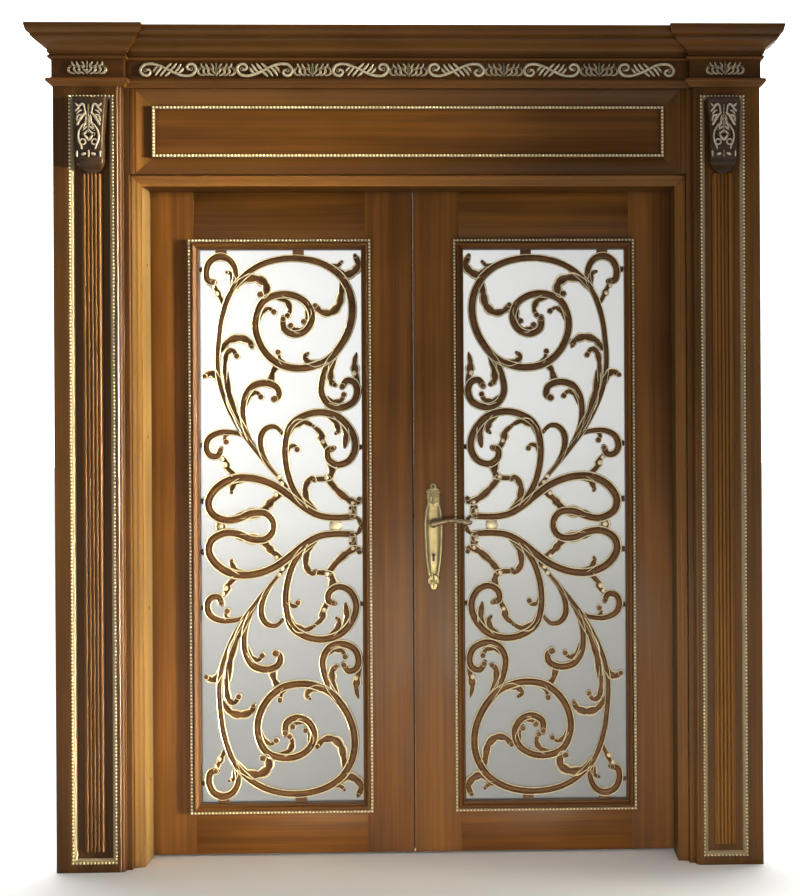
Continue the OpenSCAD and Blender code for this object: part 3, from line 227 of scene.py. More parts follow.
def knob(shape, centre, r, place, thick, gilt=.8, sides=16, domed=False):
    """A small carved ball or the hollowed eye of a volute, within the thickness of its carving."""
    levels = [(1, thick, 0), (1, thick * .45, gilt * .4), (.95, thick * .2, gilt), (.84, thick * .06, gilt),
              (.7, thick * .1, .1), (.4, thick * .02, 0), (.06, 0, 0)]
    if domed:
        rise = min(r, thick * .8)
        levels = [(1, thick, 0)]
        levels += [(k, rise * (1 - math.sqrt(1 - k * k)), gilt) for k in (1, .97, .88, .72, .5, .25, .05)]
    rings, shares = [], []
    for k, depth, g in levels:
        rings.append([place(np.array(centre) + r * k * np.array(q), max(depth, 0)) for q in circle(sides)])
        shares += [g] * sides
    shape.skin(rings, gilt=shares)


def chamfered_box(shape, lo, hi, axis, c=.8):
    """A board with broken edges and grain along one axis."""
    lo, hi, c = np.array(lo), np.array(hi), c * MM
    bm = bmesh.new()
    bmesh.ops.create_cube(bm, size=1)
    for v in bm.verts:
        v.co = Vector((lo + hi) / 2 + np.array(v.co) * (hi - lo))
    bmesh.ops.bevel(bm, geom=list(bm.edges), offset=c, segments=2, affect="EDGES", profile=.5)
    seed = random.random() * 9
    verts = [np.array(v.co) for v in bm.verts]
    bm.verts.index_update()
    order = [axis] + [a for a in range(3) if a != axis]
    shape.add(verts, [[v.index for v in f.verts] for f in bm.faces], [v[order] + seed for v in verts])
    bm.free()


# Materials
def material(name):
    m = bpy.data.materials.new(name)
    m.use_nodes = True
    t = m.node_tree
    t.nodes.clear()
    out = t.nodes.new("ShaderNodeOutputMaterial")
    bsdf = t.nodes.new("ShaderNodeBsdfPrincipled")
    t.links.new(bsdf.outputs[0], out.inputs[0])
    return m, t, bsdf


def node(t, kind, **values):
    n = t.nodes.new(kind)
    for k, v in values.items():
        if k in n.inputs:
            n.inputs[k].default_value = v
        else:
            setattr(n, k, v)
    return n


def noise(t, coords, scale, detail=3.0, location=(0, 0, 0), distortion=0.0, rough=.55):
    """Noise on coordinates that are stretched by scale, one value for each axis."""
    m = node(t, "ShaderNodeMapping")
    m.inputs["Scale"].default_value = scale
    m.inputs["Location"].default_value = location
    t.links.new(coords, m.inputs["Vector"])
    n = node(t, "ShaderNodeTexNoise", Scale=1.0, Detail=detail, Roughness=rough, Distortion=distortion)
    t.links.new(m.outputs[0], n.inputs["Vector"])
    return n.outputs["Fac"]


def ramp(t, value, stops):
    n = node(t, "ShaderNodeValToRGB")
    while len(n.color_ramp.elements) < len(stops):
        n.color_ramp.elements.new(.5)
    for e, (p, c) in zip(n.color_ramp.elements, stops):
        e.position = p
        e.color = (*c, 1) if hasattr(c, "__len__") else (c, c, c, 1)
    t.links.new(value, n.inputs[0])
    return n.outputs[0]


def mix(t, a, b, fac, blend="MIX"):
    n = node(t, "ShaderNodeMix", data_type="RGBA", blend_type=blend)
    for value, socket in ((fac, n.inputs[0]), (a, n.inputs[6]), (b, n.inputs[7])):
        if isinstance(value, bpy.types.NodeSocket):
            t.links.new(value, socket)
        else:
            socket.default_value = value if socket == n.inputs[0] else (*value, 1)
    return n.outputs[2]


def math_node(t, operation, a, b):
    n = node(t, "ShaderNodeMath", operation=operation)
    for value, socket in ((a, n.inputs[0]), (b, n.inputs[1])):
        if isinstance(value, bpy.types.NodeSocket):
            t.links.new(value, socket)
        else:
            socket.default_value = value
    return n.outputs[0]


def coords_of(t, axis):
    """Grain coordinates of a scene piece, or the CAD node's own place; gives scales for along and across."""
    if axis is None:
        n = node(t, "ShaderNodeAttribute", attribute_name="grain")
        return n.outputs["Vector"], lambda along, across: (along, across, across)
    n = node(t, "ShaderNodeTexCoord")
    return n.outputs["Object"], lambda along, across: tuple(along if i == axis else across for i in range(3))


def wood(name, axis=None, seed=0.0, tone=1.0, red=1.0, rough=.4, wave=.3, pale=0):
    """Varnished walnut, grain along an axis or the stick; pale mixes a painted golden sheen into the colour,
    wave 0 is plain.
    """
    m, t, bsdf = material(name)
    coords, scales = coords_of(t, axis)
    at = (seed * 3.7, seed * 5.3, seed * 2.9)
    figure = noise(t, coords, scales(.9 if wave else .3, 14), 5, at, wave)
    streak = noise(t, coords, scales(.4, 60), 3, at)
    fibre = noise(t, coords, scales(2.5 if wave else .5, 650), 2, at)
    mottle = noise(t, coords, scales(3.2, 7), 2, at)
    base = ramp(t, figure, [(.28, tuple(c * tone for c in (.098 * red, .0345, .0056))),
                            (.5, tuple(c * tone for c in (.160 * red, .0595, .0092))),
                            (.74, tuple(c * tone for c in (.225 * red, .0890, .0145)))])
    # Painted sheen: the colour drawn towards a light gold
    if pale:
        base = mix(t, base, (.46, .36, .18), pale)
    base = mix(t, base, ramp(t, streak, [(.36, .66), (.6, 1.08)]), .6, "MULTIPLY")
    base = mix(t, base, ramp(t, mottle, [(.3, .82), (.7, 1.15)]), .8, "MULTIPLY")
    base = mix(t, base, ramp(t, fibre, [(.34, .62), (.52, 1.0)]), .5, "MULTIPLY")
    # Darker in corners, recesses and between parts: painted shade, with some patina kept in the hollows
    shade = node(t, "ShaderNodeAmbientOcclusion", Distance=.03, samples=6)
    hollows = ramp(t, shade.outputs["AO"], [(.25, (.30, .22, .16)), (.8, (1, 1, 1))])
    base = mix(t, base, hollows, .85, "MULTIPLY")
    t.links.new(base, bsdf.inputs["Base Color"])
    gloss = ramp(t, mottle, [(.3, rough - .07), (.7, rough + .09)])
    t.links.new(gloss, bsdf.inputs["Roughness"])
    if wave:
        bump = node(t, "ShaderNodeBump", Strength=.1, Distance=.0005)
        t.links.new(fibre, bump.inputs["Height"])
        round_edge = node(t, "ShaderNodeBevel", Radius=.0012, samples=4)
        t.links.new(round_edge.outputs[0], bump.inputs["Normal"])
        t.links.new(bump.outputs[0], bsdf.inputs["Normal"])
    bsdf.inputs["Specular IOR Level"].default_value = .16
    bsdf.inputs["Coat Weight"].default_value = .03
    bsdf.inputs["Coat Roughness"].default_value = .2
    return m


def gilding(name, brown=.45, gold=(.80, .70, .46)):
    """Patinated gilding: pale gold on what stands out, brown glaze and painted shade in the hollows."""
    m, t, bsdf = material(name)
    coords, _ = coords_of(t, None)
    wear = noise(t, coords, (160, 160, 160), 4)
    cloud = noise(t, coords, (35, 35, 35), 3)
    # Hollows lose their gold and turn brown: glaze and painted shade
    shade = node(t, "ShaderNodeAmbientOcclusion", Distance=.009, samples=8)
    unshaded_share = ramp(t, shade.outputs["AO"], [(.36, 0), (.84, 1)])
    patches = math_node(t, "ADD", math_node(t, "MULTIPLY", wear, .6), math_node(t, "MULTIPLY", cloud, .4))
    worn = ramp(t, patches, [(.36, 1 - brown), (.58, 1)])
    raised = node(t, "ShaderNodeAttribute", attribute_name="gilt")
    fac = math_node(t, "MULTIPLY", math_node(t, "MULTIPLY", unshaded_share, worn), raised.outputs["Fac"])
    t.links.new(mix(t, (.060, .027, .010), gold, fac), bsdf.inputs["Base Color"])
    t.links.new(math_node(t, "MULTIPLY", fac, .4), bsdf.inputs["Metallic"])
    t.links.new(ramp(t, wear, [(.3, .3), (.7, .5)]), bsdf.inputs["Roughness"])
    bump = node(t, "ShaderNodeBump", Strength=.25, Distance=.0006)
    t.links.new(wear, bump.inputs["Height"])
    t.links.new(bump.outputs[0], bsdf.inputs["Normal"])
    return m


def carved(name, tone=1.0, gold=(.82, .72, .48)):
    """Carved walnut with worn gilding on its raised rims."""
    m, t, bsdf = material(name)
    coords, _ = coords_of(t, None)
    streak = noise(t, coords, (25, 90, 90), 4)
    wear = noise(t, coords, (120, 120, 120), 4)
    wood_tone = ramp(t, streak, [(.3, tuple(c * tone for c in (.105, .043, .012))),
                                 (.7, tuple(c * tone for c in (.215, .098, .028)))])
    rim = node(t, "ShaderNodeAttribute", attribute_name="gilt")
    rubbed = math_node(t, "MULTIPLY", math_node(t, "SUBTRACT", wear, .5), .9)
    fac = ramp(t, math_node(t, "ADD", rim.outputs["Fac"], rubbed), [(.42, 0), (.74, 1)])
    # Hollows lose their gilding and go darker: painted shade
    shade = node(t, "ShaderNodeAmbientOcclusion", Distance=.008, samples=8)
    unshaded_share = ramp(t, shade.outputs["AO"], [(.25, .25), (.8, 1)])
    fac = math_node(t, "MULTIPLY", fac, unshaded_share)
    base = mix(t, wood_tone, gold, fac)
    base = mix(t, base, unshaded_share, .6, "MULTIPLY")
    t.links.new(base, bsdf.inputs["Base Color"])
    t.links.new(math_node(t, "MULTIPLY", fac, .4), bsdf.inputs["Metallic"])
    t.links.new(ramp(t, wear, [(.3, .32), (.7, .5)]), bsdf.inputs["Roughness"])
    bump = node(t, "ShaderNodeBump", Strength=.2, Distance=.0008)
    t.links.new(streak, bump.inputs["Height"])
    t.links.new(bump.outputs[0], bsdf.inputs["Normal"])
    bsdf.inputs["Coat Weight"].default_value = .03
    bsdf.inputs["Specular IOR Level"].default_value = .2
    bsdf.inputs["Coat Roughness"].default_value = .25
    return m


def metal(name, colour, rough, brush=None, axis=2, hollow_darkening=.5):
    """Brass or steel with fine brush lines or hand-rubbed tone, and dark hollows."""
    m, t, bsdf = material(name)
    n = node(t, "ShaderNodeTexCoord")
    coords = n.outputs["Object"]
    lines = noise(t, coords, tuple(30 if i == axis else 900 for i in range(3)) if brush else (60, 60, 60), 3)
    cloud = noise(t, coords, (22, 22, 22), 3)
    shade = node(t, "ShaderNodeAmbientOcclusion", Distance=.008, samples=6)
    base = mix(t, tuple(c * .72 for c in colour), colour, ramp(t, cloud, [(.3, 0), (.7, 1)]))
    # Darker in the hollows
    base = mix(t, base, ramp(t, shade.outputs["AO"], [(.3, 1 - hollow_darkening), (.8, 1)]), .9, "MULTIPLY")
    t.links.new(base, bsdf.inputs["Base Color"])
    bsdf.inputs["Metallic"].default_value = 1.0
    t.links.new(ramp(t, lines, [(.3, rough - .06), (.7, rough + .08)]), bsdf.inputs["Roughness"])
    bump = node(t, "ShaderNodeBump", Strength=.06, Distance=.0003)
    t.links.new(lines, bump.inputs["Height"])
    edge = node(t, "ShaderNodeBevel", Radius=.0006, samples=4)
    t.links.new(edge.outputs[0], bump.inputs["Normal"])
    t.links.new(bump.outputs[0], bsdf.inputs["Normal"])
    return m


def frosted_glass(name):
    """Satin glass with a fine ground surface, its colour painted with shade: greyer towards the floor and one
    side.
    """
    m, t, bsdf = material(name)
    coords = node(t, "ShaderNodeTexCoord").outputs["Object"]
    grain = noise(t, coords, (900, 900, 900), 2)
    cloud = noise(t, coords, (2.2, 2.2, 1.6), 2)
    parts = node(t, "ShaderNodeSeparateXYZ")
    t.links.new(coords, parts.inputs[0])
    height = math_node(t, "MULTIPLY", parts.outputs["Z"], .5)
    upward = math_node(t, "ADD", height, math_node(t, "MULTIPLY", cloud, .02))
    across = math_node(t, "ADD", math_node(t, "MULTIPLY", parts.outputs["X"], .5), .5)
    # Painted shade by height and across the pane
    painted_pane_shade = ramp(t, upward, [(.11, (.34, .34, .325)), (.22, (.38, .38, .365)), (.425, (.54, .54, .52)),
                            (.53, (.68, .68, .665)), (.64, (.69, .69, .68)), (.84, (.59, .59, .585)),
                            (.95, (.55, .55, .545))])
    painted_pane_shade = mix(t, painted_pane_shade, ramp(t, across, [(.2, (1, 1, .99)), (.8, (.63, .63, .625))]), 1.0, "MULTIPLY")
    t.links.new(painted_pane_shade, bsdf.inputs["Base Color"])
    bsdf.inputs["Transmission Weight"].default_value = .92
    bsdf.inputs["IOR"].default_value = 1.3
    t.links.new(ramp(t, grain, [(.3, .42), (.7, .56)]), bsdf.inputs["Roughness"])
    bump = node(t, "ShaderNodeBump", Strength=.08, Distance=.0003)
    t.links.new(grain, bump.inputs["Height"])
    t.links.new(bump.outputs[0], bsdf.inputs["Normal"])
    return m


def rubber(name):
    m, t, bsdf = material(name)
    coords = node(t, "ShaderNodeTexCoord").outputs["Object"]
    grain = noise(t, coords, (400, 400, 400), 2)
    t.links.new(mix(t, (.035, .020, .012), (.060, .036, .022), grain), bsdf.inputs["Base Color"])
    t.links.new(ramp(t, grain, [(.3, .62), (.7, .8)]), bsdf.inputs["Roughness"])
    return m


def floor_finish(name):
    m, t, bsdf = material(name)
    coords = node(t, "ShaderNodeTexCoord").outputs["Object"]
    cloud = noise(t, coords, (1.5, 1.5, 1.5), 3)
    t.links.new(mix(t, (.91, .91, .905), (.94, .94, .935), cloud), bsdf.inputs["Base Color"])
    bsdf.inputs["Roughness"].default_value = .65
    return m


# Side copies of the architrave wood are painted light: the left one darker with a painted golden sheen, the
# right one lighter than the head
WOOD_ARCHITRAVE = {"head": wood("walnut_stick", None, 1.0, 1.05, .93, wave=0),
                   "left": wood("walnut_stick_left_painted_shade_and_sheen", None, 1.2, .74, .86, wave=0, pale=.045),
                   "right": wood("walnut_stick_right_painted_light", None, 1.6, 1.2, .93, wave=0)}
WOOD_STICK_DARK = wood("walnut_stick_dark", None, 2.0, .70, .97, wave=0)
WOOD_BEVEL = wood("walnut_bevel", None, 2.6, .56, .97, wave=0)
# The reveal wood carries a painted golden sheen
WOOD_REVEAL = wood("walnut_reveal_painted_sheen", 2, 3.0, .52, .80, pale=.1)
# The left hinge stile's copy is darker than the others: painted shade
WOOD_STILE = [wood("walnut_stile_%d" % i, 2, 4.1 + 1.7 * i, (.78, .97, .96, .97)[i]) for i in range(4)]
WOOD_RAIL = wood("walnut_rail", None, 9.3)
# A darker copy of the rail wood: painted shade for the left top rail
WOOD_RAIL_SHADED = wood("walnut_rail_painted_shade", None, 9.8, .72)
# Side copies of the pilaster wood are painted light: the left one darker, the right one lighter
WOOD_PILASTER = {"left": wood("walnut_pilaster_left_painted_shade", 2, 5.6, .42, .96),
                 "right": wood("walnut_pilaster_right_painted_light", 2, 6.4, .74, .94)}
# Side copies of the reed wood are painted light: the left one darker, the right one lighter
WOOD_REED = {"left": wood("walnut_reed_left_painted_shade", None, 6.1, .70, .94, wave=0),
             "right": wood("walnut_reed_right_painted_light", None, 6.7, 1.3, .92, wave=0)}
WOOD_BEAM = wood("walnut_beam", 0, 7.9, .63)
WOOD_BLOCK = wood("walnut_block", 0, 3.3, .44)
WOOD_FRIEZE = wood("walnut_frieze", 0, 4.7, .52)
WOOD_NECKING = wood("walnut_necking", None, 1.3, .86, .95, wave=0)
WOOD_CORNICE = wood("walnut_cornice", None, 2.3, .64, .97, wave=0)
WOOD_BACK = wood("walnut_back", 2, 8.2)
GILT_BEAD = gilding("gilt_beading", .3, (.86, .71, .40))
GILT_CARVING = gilding("gilt_carving", .6, (.62, .54, .36))
CARVED_GRILLE = carved("carved_grille", .66)
CARVED_CORBEL = carved("carved_corbel", .2, (.46, .39, .28))
BRASS = metal("brass_polished", (.26, .22, .118), .36)
BRASS_LEVER = metal("brass_lever", (.36, .275, .165), .38)
STEEL = metal("steel_brushed", (.55, .56, .58), .3, brush=True)
GLASS = frosted_glass("frosted_pane")
RUBBER = rubber("seal_rubber")
# Dark finish for the keyhole and eye insets, which are painted shade in the holes
HOLE_SHADE = rubber("keyhole_painted_shade")


def finish_node(name, m):
    mesh = nodes[name].data
    mesh.materials.clear()
    mesh.materials.append(m)


for side in ("left", "right"):
    finish_node(side + "_jamb", WOOD_REVEAL)
    finish_node(side + "_pilaster", WOOD_PILASTER[side])
    finish_node(side + "_frieze_block", WOOD_BLOCK)
    finish_node(side + "_back_casing", WOOD_BACK)
    finish_node(side + "_glass", GLASS)
    finish_node(side + "_glass_bead", WOOD_BACK)
    finish_node(side + "_hinge_stile", WOOD_STILE[0 if side == "left" else 1])
    finish_node(side + "_meeting_stile", WOOD_STILE[2 if side == "left" else 3])
    finish_node(side + "_hinge_frame_halves", BRASS)
    finish_node(side + "_hinge_door_halves", BRASS)
for name, m in (("head_jamb", WOOD_BEAM), ("overdoor_board", WOOD_BEAM), ("frieze_board", WOOD_FRIEZE),
                ("cornice_top_board", WOOD_BEAM), ("head_back_casing", WOOD_BEAM), ("door_seals", RUBBER),
                ("hinge_pins", STEEL), ("strike_plate", BRASS), ("top_flush_bolt", BRASS),
                ("bottom_flush_bolt", BRASS), ("lock_case", STEEL), ("latch_bolt", BRASS),
                ("deadbolt", BRASS)):
    finish_node(name, m)


# Mouldings
def on_face(y):
    """Places moulding points in the door's face, standing out in front of depth y."""
    return lambda p, up: (p[0], y - up, p[1])


def on_plan(z):
    """Places moulding points of the entablature, measured up from height z."""
    return lambda p, up: (p[0], p[1], z + up)


def frame_path(lo, hi, inset, strip=0):
    """Corners of a frame in the door's face, inset from a node's box, with strips at its ends."""
    x0, x1 = lo.x + (inset + strip) * MM, hi.x - (inset + strip) * MM
    z0, z1 = lo.z + inset * MM, hi.z - inset * MM
    return [(x0, z0), (x0, z1), (x1, z1), (x1, z0)]


opening_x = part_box("right_architrave")[0].x
opening_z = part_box("head_architrave")[0].z
lining_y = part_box("head_architrave")[1].y
w, t = ARCHITRAVE_W, ARCHITRAVE_T
architrave = ([(w, 0)] + arc((w - 1.5, t + 2.5), 1.5, 0, 90, 4)
              + [(w - 3, t + 4), (w - 4, t + 3.7), (w - 12, t + .3), (w - 13, t)]
              + [(w - 18, t), (w - 19, t - .3), (w - 26, t - 3.3), (w - 27, t - 3.5)]
              + [(1, t - 3.5), (0, t - 4.2), (0, 0)])
path = [(-opening_x, 0), (-opening_x, opening_z), (opening_x, opening_z), (opening_x, 0)]
for i, side in enumerate(("left", "head", "right")):
    name, shape = side + "_architrave", Shape()
    sweep(shape, path, architrave, on_face(lining_y), runs=[i])
    shape.piece(name + "_run", WOOD_ARCHITRAVE[side], "frame", [name], "walnut")

leaf_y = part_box("right_top_rail")[0].y
p, r, d = MOULDING_PROUD, MOULDING_REACH, GLASS_DEPTH
out = r + MOULDING_LAP
roll = out - BEAD_D - 2
seat = p / 2
bolection = ([(out, 0), (out, seat), (roll + 1, seat)] + arc((roll - 4, p - 4), 4, 5, 130, 10)
             + swap(cyma((p - 2.2, roll - 8), (4, 5), 12))
             + [(3, 4), (3, 1), (0, 0), (0, -d), (r - .2, -d), (r - .2, 0)])
for side in ("left", "right"):
    lo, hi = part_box(side + "_glazing_moulding")
    shape = Shape()
    sweep(shape, frame_path(lo, hi, out), bolection, on_face(leaf_y), closed=True)
    shape.piece(side + "_bolection", WOOD_STICK_DARK, side + "_leaf", [side + "_glazing_moulding"], "walnut")
    for rail in ("_top_rail", "_bottom_rail"):
        shape = Shape()
        chamfered_box(shape, *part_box(side + rail), axis=0, c=.7)
        # The left top rail gets the darker copy: painted shade under the head
        finish = WOOD_RAIL_SHADED if side + rail == "left_top_rail" else WOOD_RAIL
        shape.piece(side + rail + "_board", finish, side + "_leaf", [side + rail], "walnut")

lo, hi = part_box("overdoor_moulding")
w, h = OVERDOOR_FRAME_W, (hi.y - lo.y) / MM - OVERDOOR_SET
bevel = ([(w, 0), (w, h - .8), (w - .8, h), (w - 6, h), (w - 7, h - .4), (w - 18, h * .6), (w - 32, h * .3)]
         + [(BEAD_D + 2, h * .16), (BEAD_D, h * .7), (0, h * .7), (0, 0)])
shape = Shape()
sweep(shape, frame_path(lo, hi, w, OVERDOOR_STRIP_W), bevel, on_face(hi.y), closed=True)
for x0, x1 in ((lo.x, lo.x + OVERDOOR_STRIP_W * MM), (hi.x - OVERDOOR_STRIP_W * MM, hi.x)):
    chamfered_box(shape, (x0, lo.y, lo.z), (x1, hi.y, hi.z), axis=2, c=1.5)
shape.piece("overdoor_frame", WOOD_BEVEL, "frame", ["overdoor_moulding"], "walnut")

block_lo, block_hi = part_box("right_frieze_block")
frieze_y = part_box("frieze_board")[0].y
entab = [(block_hi.x, block_hi.y), (block_hi.x, block_lo.y), (block_lo.x, block_lo.y),
         (block_lo.x, frieze_y), (-block_lo.x, frieze_y), (-block_lo.x, block_lo.y),
         (-block_hi.x, block_lo.y), (-block_hi.x, block_hi.y)]
lo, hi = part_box("necking_moulding")
p, h = (block_lo.y - lo.y) / MM, (hi.z - lo.z) / MM
r = h * .27
necking = ([(-CORNICE_ROOT, 0)] + cyma((0, 0), (p - r, h * .35), 8) + arc((p - r, h * .62), r, -90, 90, 12)
           + [(2, h * .89), (2, h), (-CORNICE_ROOT, h)])
shape = Shape()
sweep(shape, entab, necking, on_plan(lo.z))
shape.piece("necking_run", WOOD_NECKING, "frame", ["necking_moulding"], "walnut")
lo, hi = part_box("cornice")
p, h = (block_lo.y - lo.y) / MM, (hi.z - lo.z) / MM
quarter = np.linspace(0, math.pi / 2, 10)
ovolo = [(p * .78 + p * .19 * math.sin(a), h * .7 + h * .2 * (1 - math.cos(a))) for a in quarter]
cornice = ([(-CORNICE_ROOT, 0), (p * .06, 0)] + arc((p * .08, h * .07), h * .05, -60, 60, 8)
           + [(p * .08, h * .14), (p * .08, h * .2), (p * .16, h * .2), (p * .16, h * .27)]
           + cyma((p * .18, h * .28), (p * .7, h * .62), 14)
           + [(p * .76, h * .62), (p * .76, h * .69)] + ovolo + [(p, h * .91), (p, h), (-CORNICE_ROOT, h)])
shape = Shape()
sweep(shape, entab, cornice, on_plan(lo.z))
shape.piece("cornice_run", WOOD_CORNICE, "frame", ["cornice"], "walnut")


# Gilt pearl beadings
def pearls(name, body, sunk=0):
    """A gilt strip with a row of pearls, and a sloped fillet where it edges a sunk panel."""
    lo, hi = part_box(name)
    path = frame_path(lo, hi, BEAD_D / 2)
    base, shape = hi.y, Shape()
    edge = -BEAD_D / 2
    strip = [(-edge, 0), (-edge, BEAD_STRIP_T), (edge, BEAD_STRIP_T), (edge, 0)]
    sweep(shape, path, strip, on_face(base), closed=True)
    if sunk:
        fillet = [(edge, 1), (edge - 1, 1), (edge - 8, -sunk), (edge - 1, -sunk)]
        sweep(shape, path, fillet, on_face(base), closed=True)
    shape.gilt = [.3] * len(shape.verts)
    r, ring = PEARL_R * MM, circle(8)
    levels = ((.9, 1), (1, 2.4), (.82, 4.4), (.4, 5.7))
    for a, b in zip(path, path[1:] + path[:1]):
        a, b = np.array(a), np.array(b)
        count = round(np.linalg.norm(b - a) / MM / PEARL_PITCH)
        for i in range(count):
            c = a + (b - a) * i / count
            shape.skin([[(c[0] + r * s * u, base - up * MM, c[1] + r * s * v) for u, v in ring]
                        for s, up in levels], gilt=1.0)
    shape.piece(name + "_pearls", GILT_BEAD, body, [name], "gilding", 60)


for side in ("left", "right"):
    pearls(side + "_pilaster_beading", "frame", RECESS_STEP)
    pearls(side + "_glazing_beading", side + "_leaf")
pearls("overdoor_beading", "frame")

# Scroll grilles: strokes of the upper half, u from the hinge side, v above the middle
GRILLE = [
    (12, 25, 22, 7, [(268, 122), (225, 172), (175, 232), (125, 300), (88, 370), (64, 440), (57, 510),
                     (62, 580), (72, 645), (98, 718), (140, 770), (195, 806), (260, 823), (325, 823),
                     (385, 808), (435, 776), (466, 730), (478, 680), (473, 625), (450, 570), (410, 520),
                     (360, 494), (310, 486), (255, 496), (210, 530), (182, 580), (176, 635), (198, 690),
                     (245, 713), (297, 710), (338, 683), (352, 640), (332, 602), (295, 590), (265, 607),
                     (262, 638)]),
    (14, 17, 9, 7, [(238, 706), (272, 693), (284, 668), (276, 648)]),
    (12, 16, 8, 7, [(318, 700), (338, 672), (338, 642), (326, 630)]),
    (9, 15, 8, 7, [(345, 622), (318, 604), (298, 606), (286, 618)]),
    (9, 13, 8, 7, [(182, 625), (195, 655), (215, 671), (234, 660)]),
    (12, 12, 8, 7, [(300, 490), (268, 500), (252, 515), (246, 536)]),
    (16, 17, 10, 4, [(420, 528), (380, 504), (345, 504), (327, 520), (340, 532)]),
    (19, 22, 15, 6, [(450, 752), (443, 715), (435, 680), (410, 657), (380, 660), (362, 680)]),
    (16, 24, 18, 8, [(105, 726), (140, 758), (180, 763), (208, 745), (208, 718), (192, 714)]),
    (21, 22, 14, 5, [(430, 788), (455, 774), (482, 782), (498, 806), (488, 832)]),
    (10, 12, 9, 4, [(408, 802), (432, 802), (446, 814)]),
    (14, 24, 21, 6, [(86, 694), (110, 745), (115, 785), (98, 818), (68, 830), (38, 818), (24, 788),
                     (28, 758), (46, 752)]),
    (9, 15, 9, 4, [(100, 712), (105, 745), (102, 775), (88, 782)]),
    (7, 17, 8, 0, [(46, 748), (55, 728), (66, 706), (78, 682)]),
    (16, 22, 14, 5, [(70, 545), (92, 571), (125, 580), (155, 570), (165, 552)]),
    (12, 17, 10, 7, [(78, 440), (80, 500), (86, 532), (104, 543), (118, 524)]),
    (16, 20, 12, 6, [(72, 425), (54, 460), (36, 472), (18, 462)]),
    (19, 20, 15, 0, [(84, 470), (92, 410), (112, 345), (150, 275)]),
    (19, 24, 21, 7, [(438, 548), (402, 500), (384, 455), (380, 410), (402, 374), (440, 364), (478, 380),
                     (492, 412), (484, 440), (460, 448), (446, 430)]),
    (14, 20, 14, 6, [(424, 524), (410, 480), (409, 448), (422, 434)]),
    (12, 17, 9, 7, [(392, 398), (415, 382), (440, 386), (450, 404)]),
    (9, 22, 6, 0, [(496, 440), (488, 470), (484, 500), (490, 532)]),
    (22, 20, 22, 0, [(414, 372), (414, 338)]),
    (16, 17, 21, 0, [(242, 494), (228, 474), (220, 436)]),
    (14, 24, 21, 9, [(168, 244), (145, 295), (135, 345), (140, 392), (164, 430), (205, 441), (240, 428),
                     (247, 402), (234, 392)]),
    (9, 15, 8, 7, [(144, 370), (158, 402), (178, 412), (192, 398)]),
    (12, 22, 12, 5, [(250, 146), (212, 192), (192, 236), (190, 275), (208, 302), (236, 306), (258, 286)]),
    (19, 24, 21, 6, [(352, 50), (312, 82), (284, 130), (268, 190), (266, 250), (282, 308), (325, 340),
                     (380, 350), (435, 334), (474, 290), (485, 242), (466, 202), (430, 188), (402, 204),
                     (398, 230), (414, 238)]),
    (10, 20, 9, 4, [(270, 262), (290, 305), (325, 320), (355, 308)]),
    (9, 12, 8, 7, [(268, 210), (278, 240), (296, 248), (304, 236)]),
    (12, 17, 9, 4, [(395, 345), (422, 320), (432, 296), (424, 284)]),
    (12, 20, 12, 0, [(448, 318), (456, 285), (452, 244)]),
    (9, 21, 12, 0, [(352, 308), (376, 288), (382, 262), (396, 236)]),
    (19, 18, 15, 4, [(358, 44), (334, 78), (328, 118), (345, 146), (356, 140)]),
    (14, 17, 24, 0, [(350, 144), (394, 146), (410, 162), (412, 194)]),
    (19, 20, 14, 6, [(396, 148), (425, 112), (460, 82), (488, 70), (496, 82)]),
    (12, 15, 15, 0, [(476, 76), (480, 52), (474, 26)]),
    (14, 22, 20, 6, [(140, 280), (105, 289), (65, 290), (32, 274), (21, 245), (32, 220), (56, 217),
                     (66, 236)]),
    (9, 12, 8, 7, [(92, 288), (78, 276), (84, 260)]),
    (8, 20, 10, 0, [(64, 218), (82, 198), (88, 178), (118, 150)]),
    (21, 27, 21, 0, [(474, 27), (420, 25), (370, 32), (325, 56), (280, 92), (230, 126), (170, 147),
                     (110, 148), (58, 124), (28, 82), (36, 42), (76, 20), (120, 24), (160, 40), (200, 40),
                     (222, 22), (228, -2)]),
    (9, 11, 9, 4, [(470, 26), (480, 40), (468, 54)]),
    (10, 12, 12, 0, [(460, 28), (490, 24), (504, -2)]),
    (12, 15, 8, 4, [(150, 146), (112, 134), (98, 112), (100, 104)]),
    (19, 22, 12, 0, [(190, 40), (210, 62), (226, 80), (252, 98)]),
    (6, 17, 30, 0, [(100, 22), (118, 34), (140, 36), (176, 40)]),
    (18, 14, 18, 0, [(26, 790), (8, 790)]),
    (18, 14, 18, 0, [(24, 250), (8, 250)]),
    (20, 16, 20, 0, [(30, 78), (8, 78)]),
    (14, 12, 16, 0, [(484, 246), (499, 242)]),
    (14, 12, 16, 0, [(488, 410), (499, 413)]),
    (12, 17, 30, 0, [(46, 30), (62, 18), (65, -2)]),
]
BERRIES = [(43, 738, 7), (56, 716, 8), (482, 470, 9), (70, 207, 8), (79, 190, 9), (245, 150, 9),
           (254, 131, 9), (236, 98, 8), (476, 70, 7), (468, 46, 7), (394, 148, 8), (384, 260, 7)]
KNOBS = [(421, 0, 20, 24), (64, 0, 10, 16)]
TABS, TAB_HALF, TAB_LOW, TAB_HIGH = (70, 310), 17, 830, 850
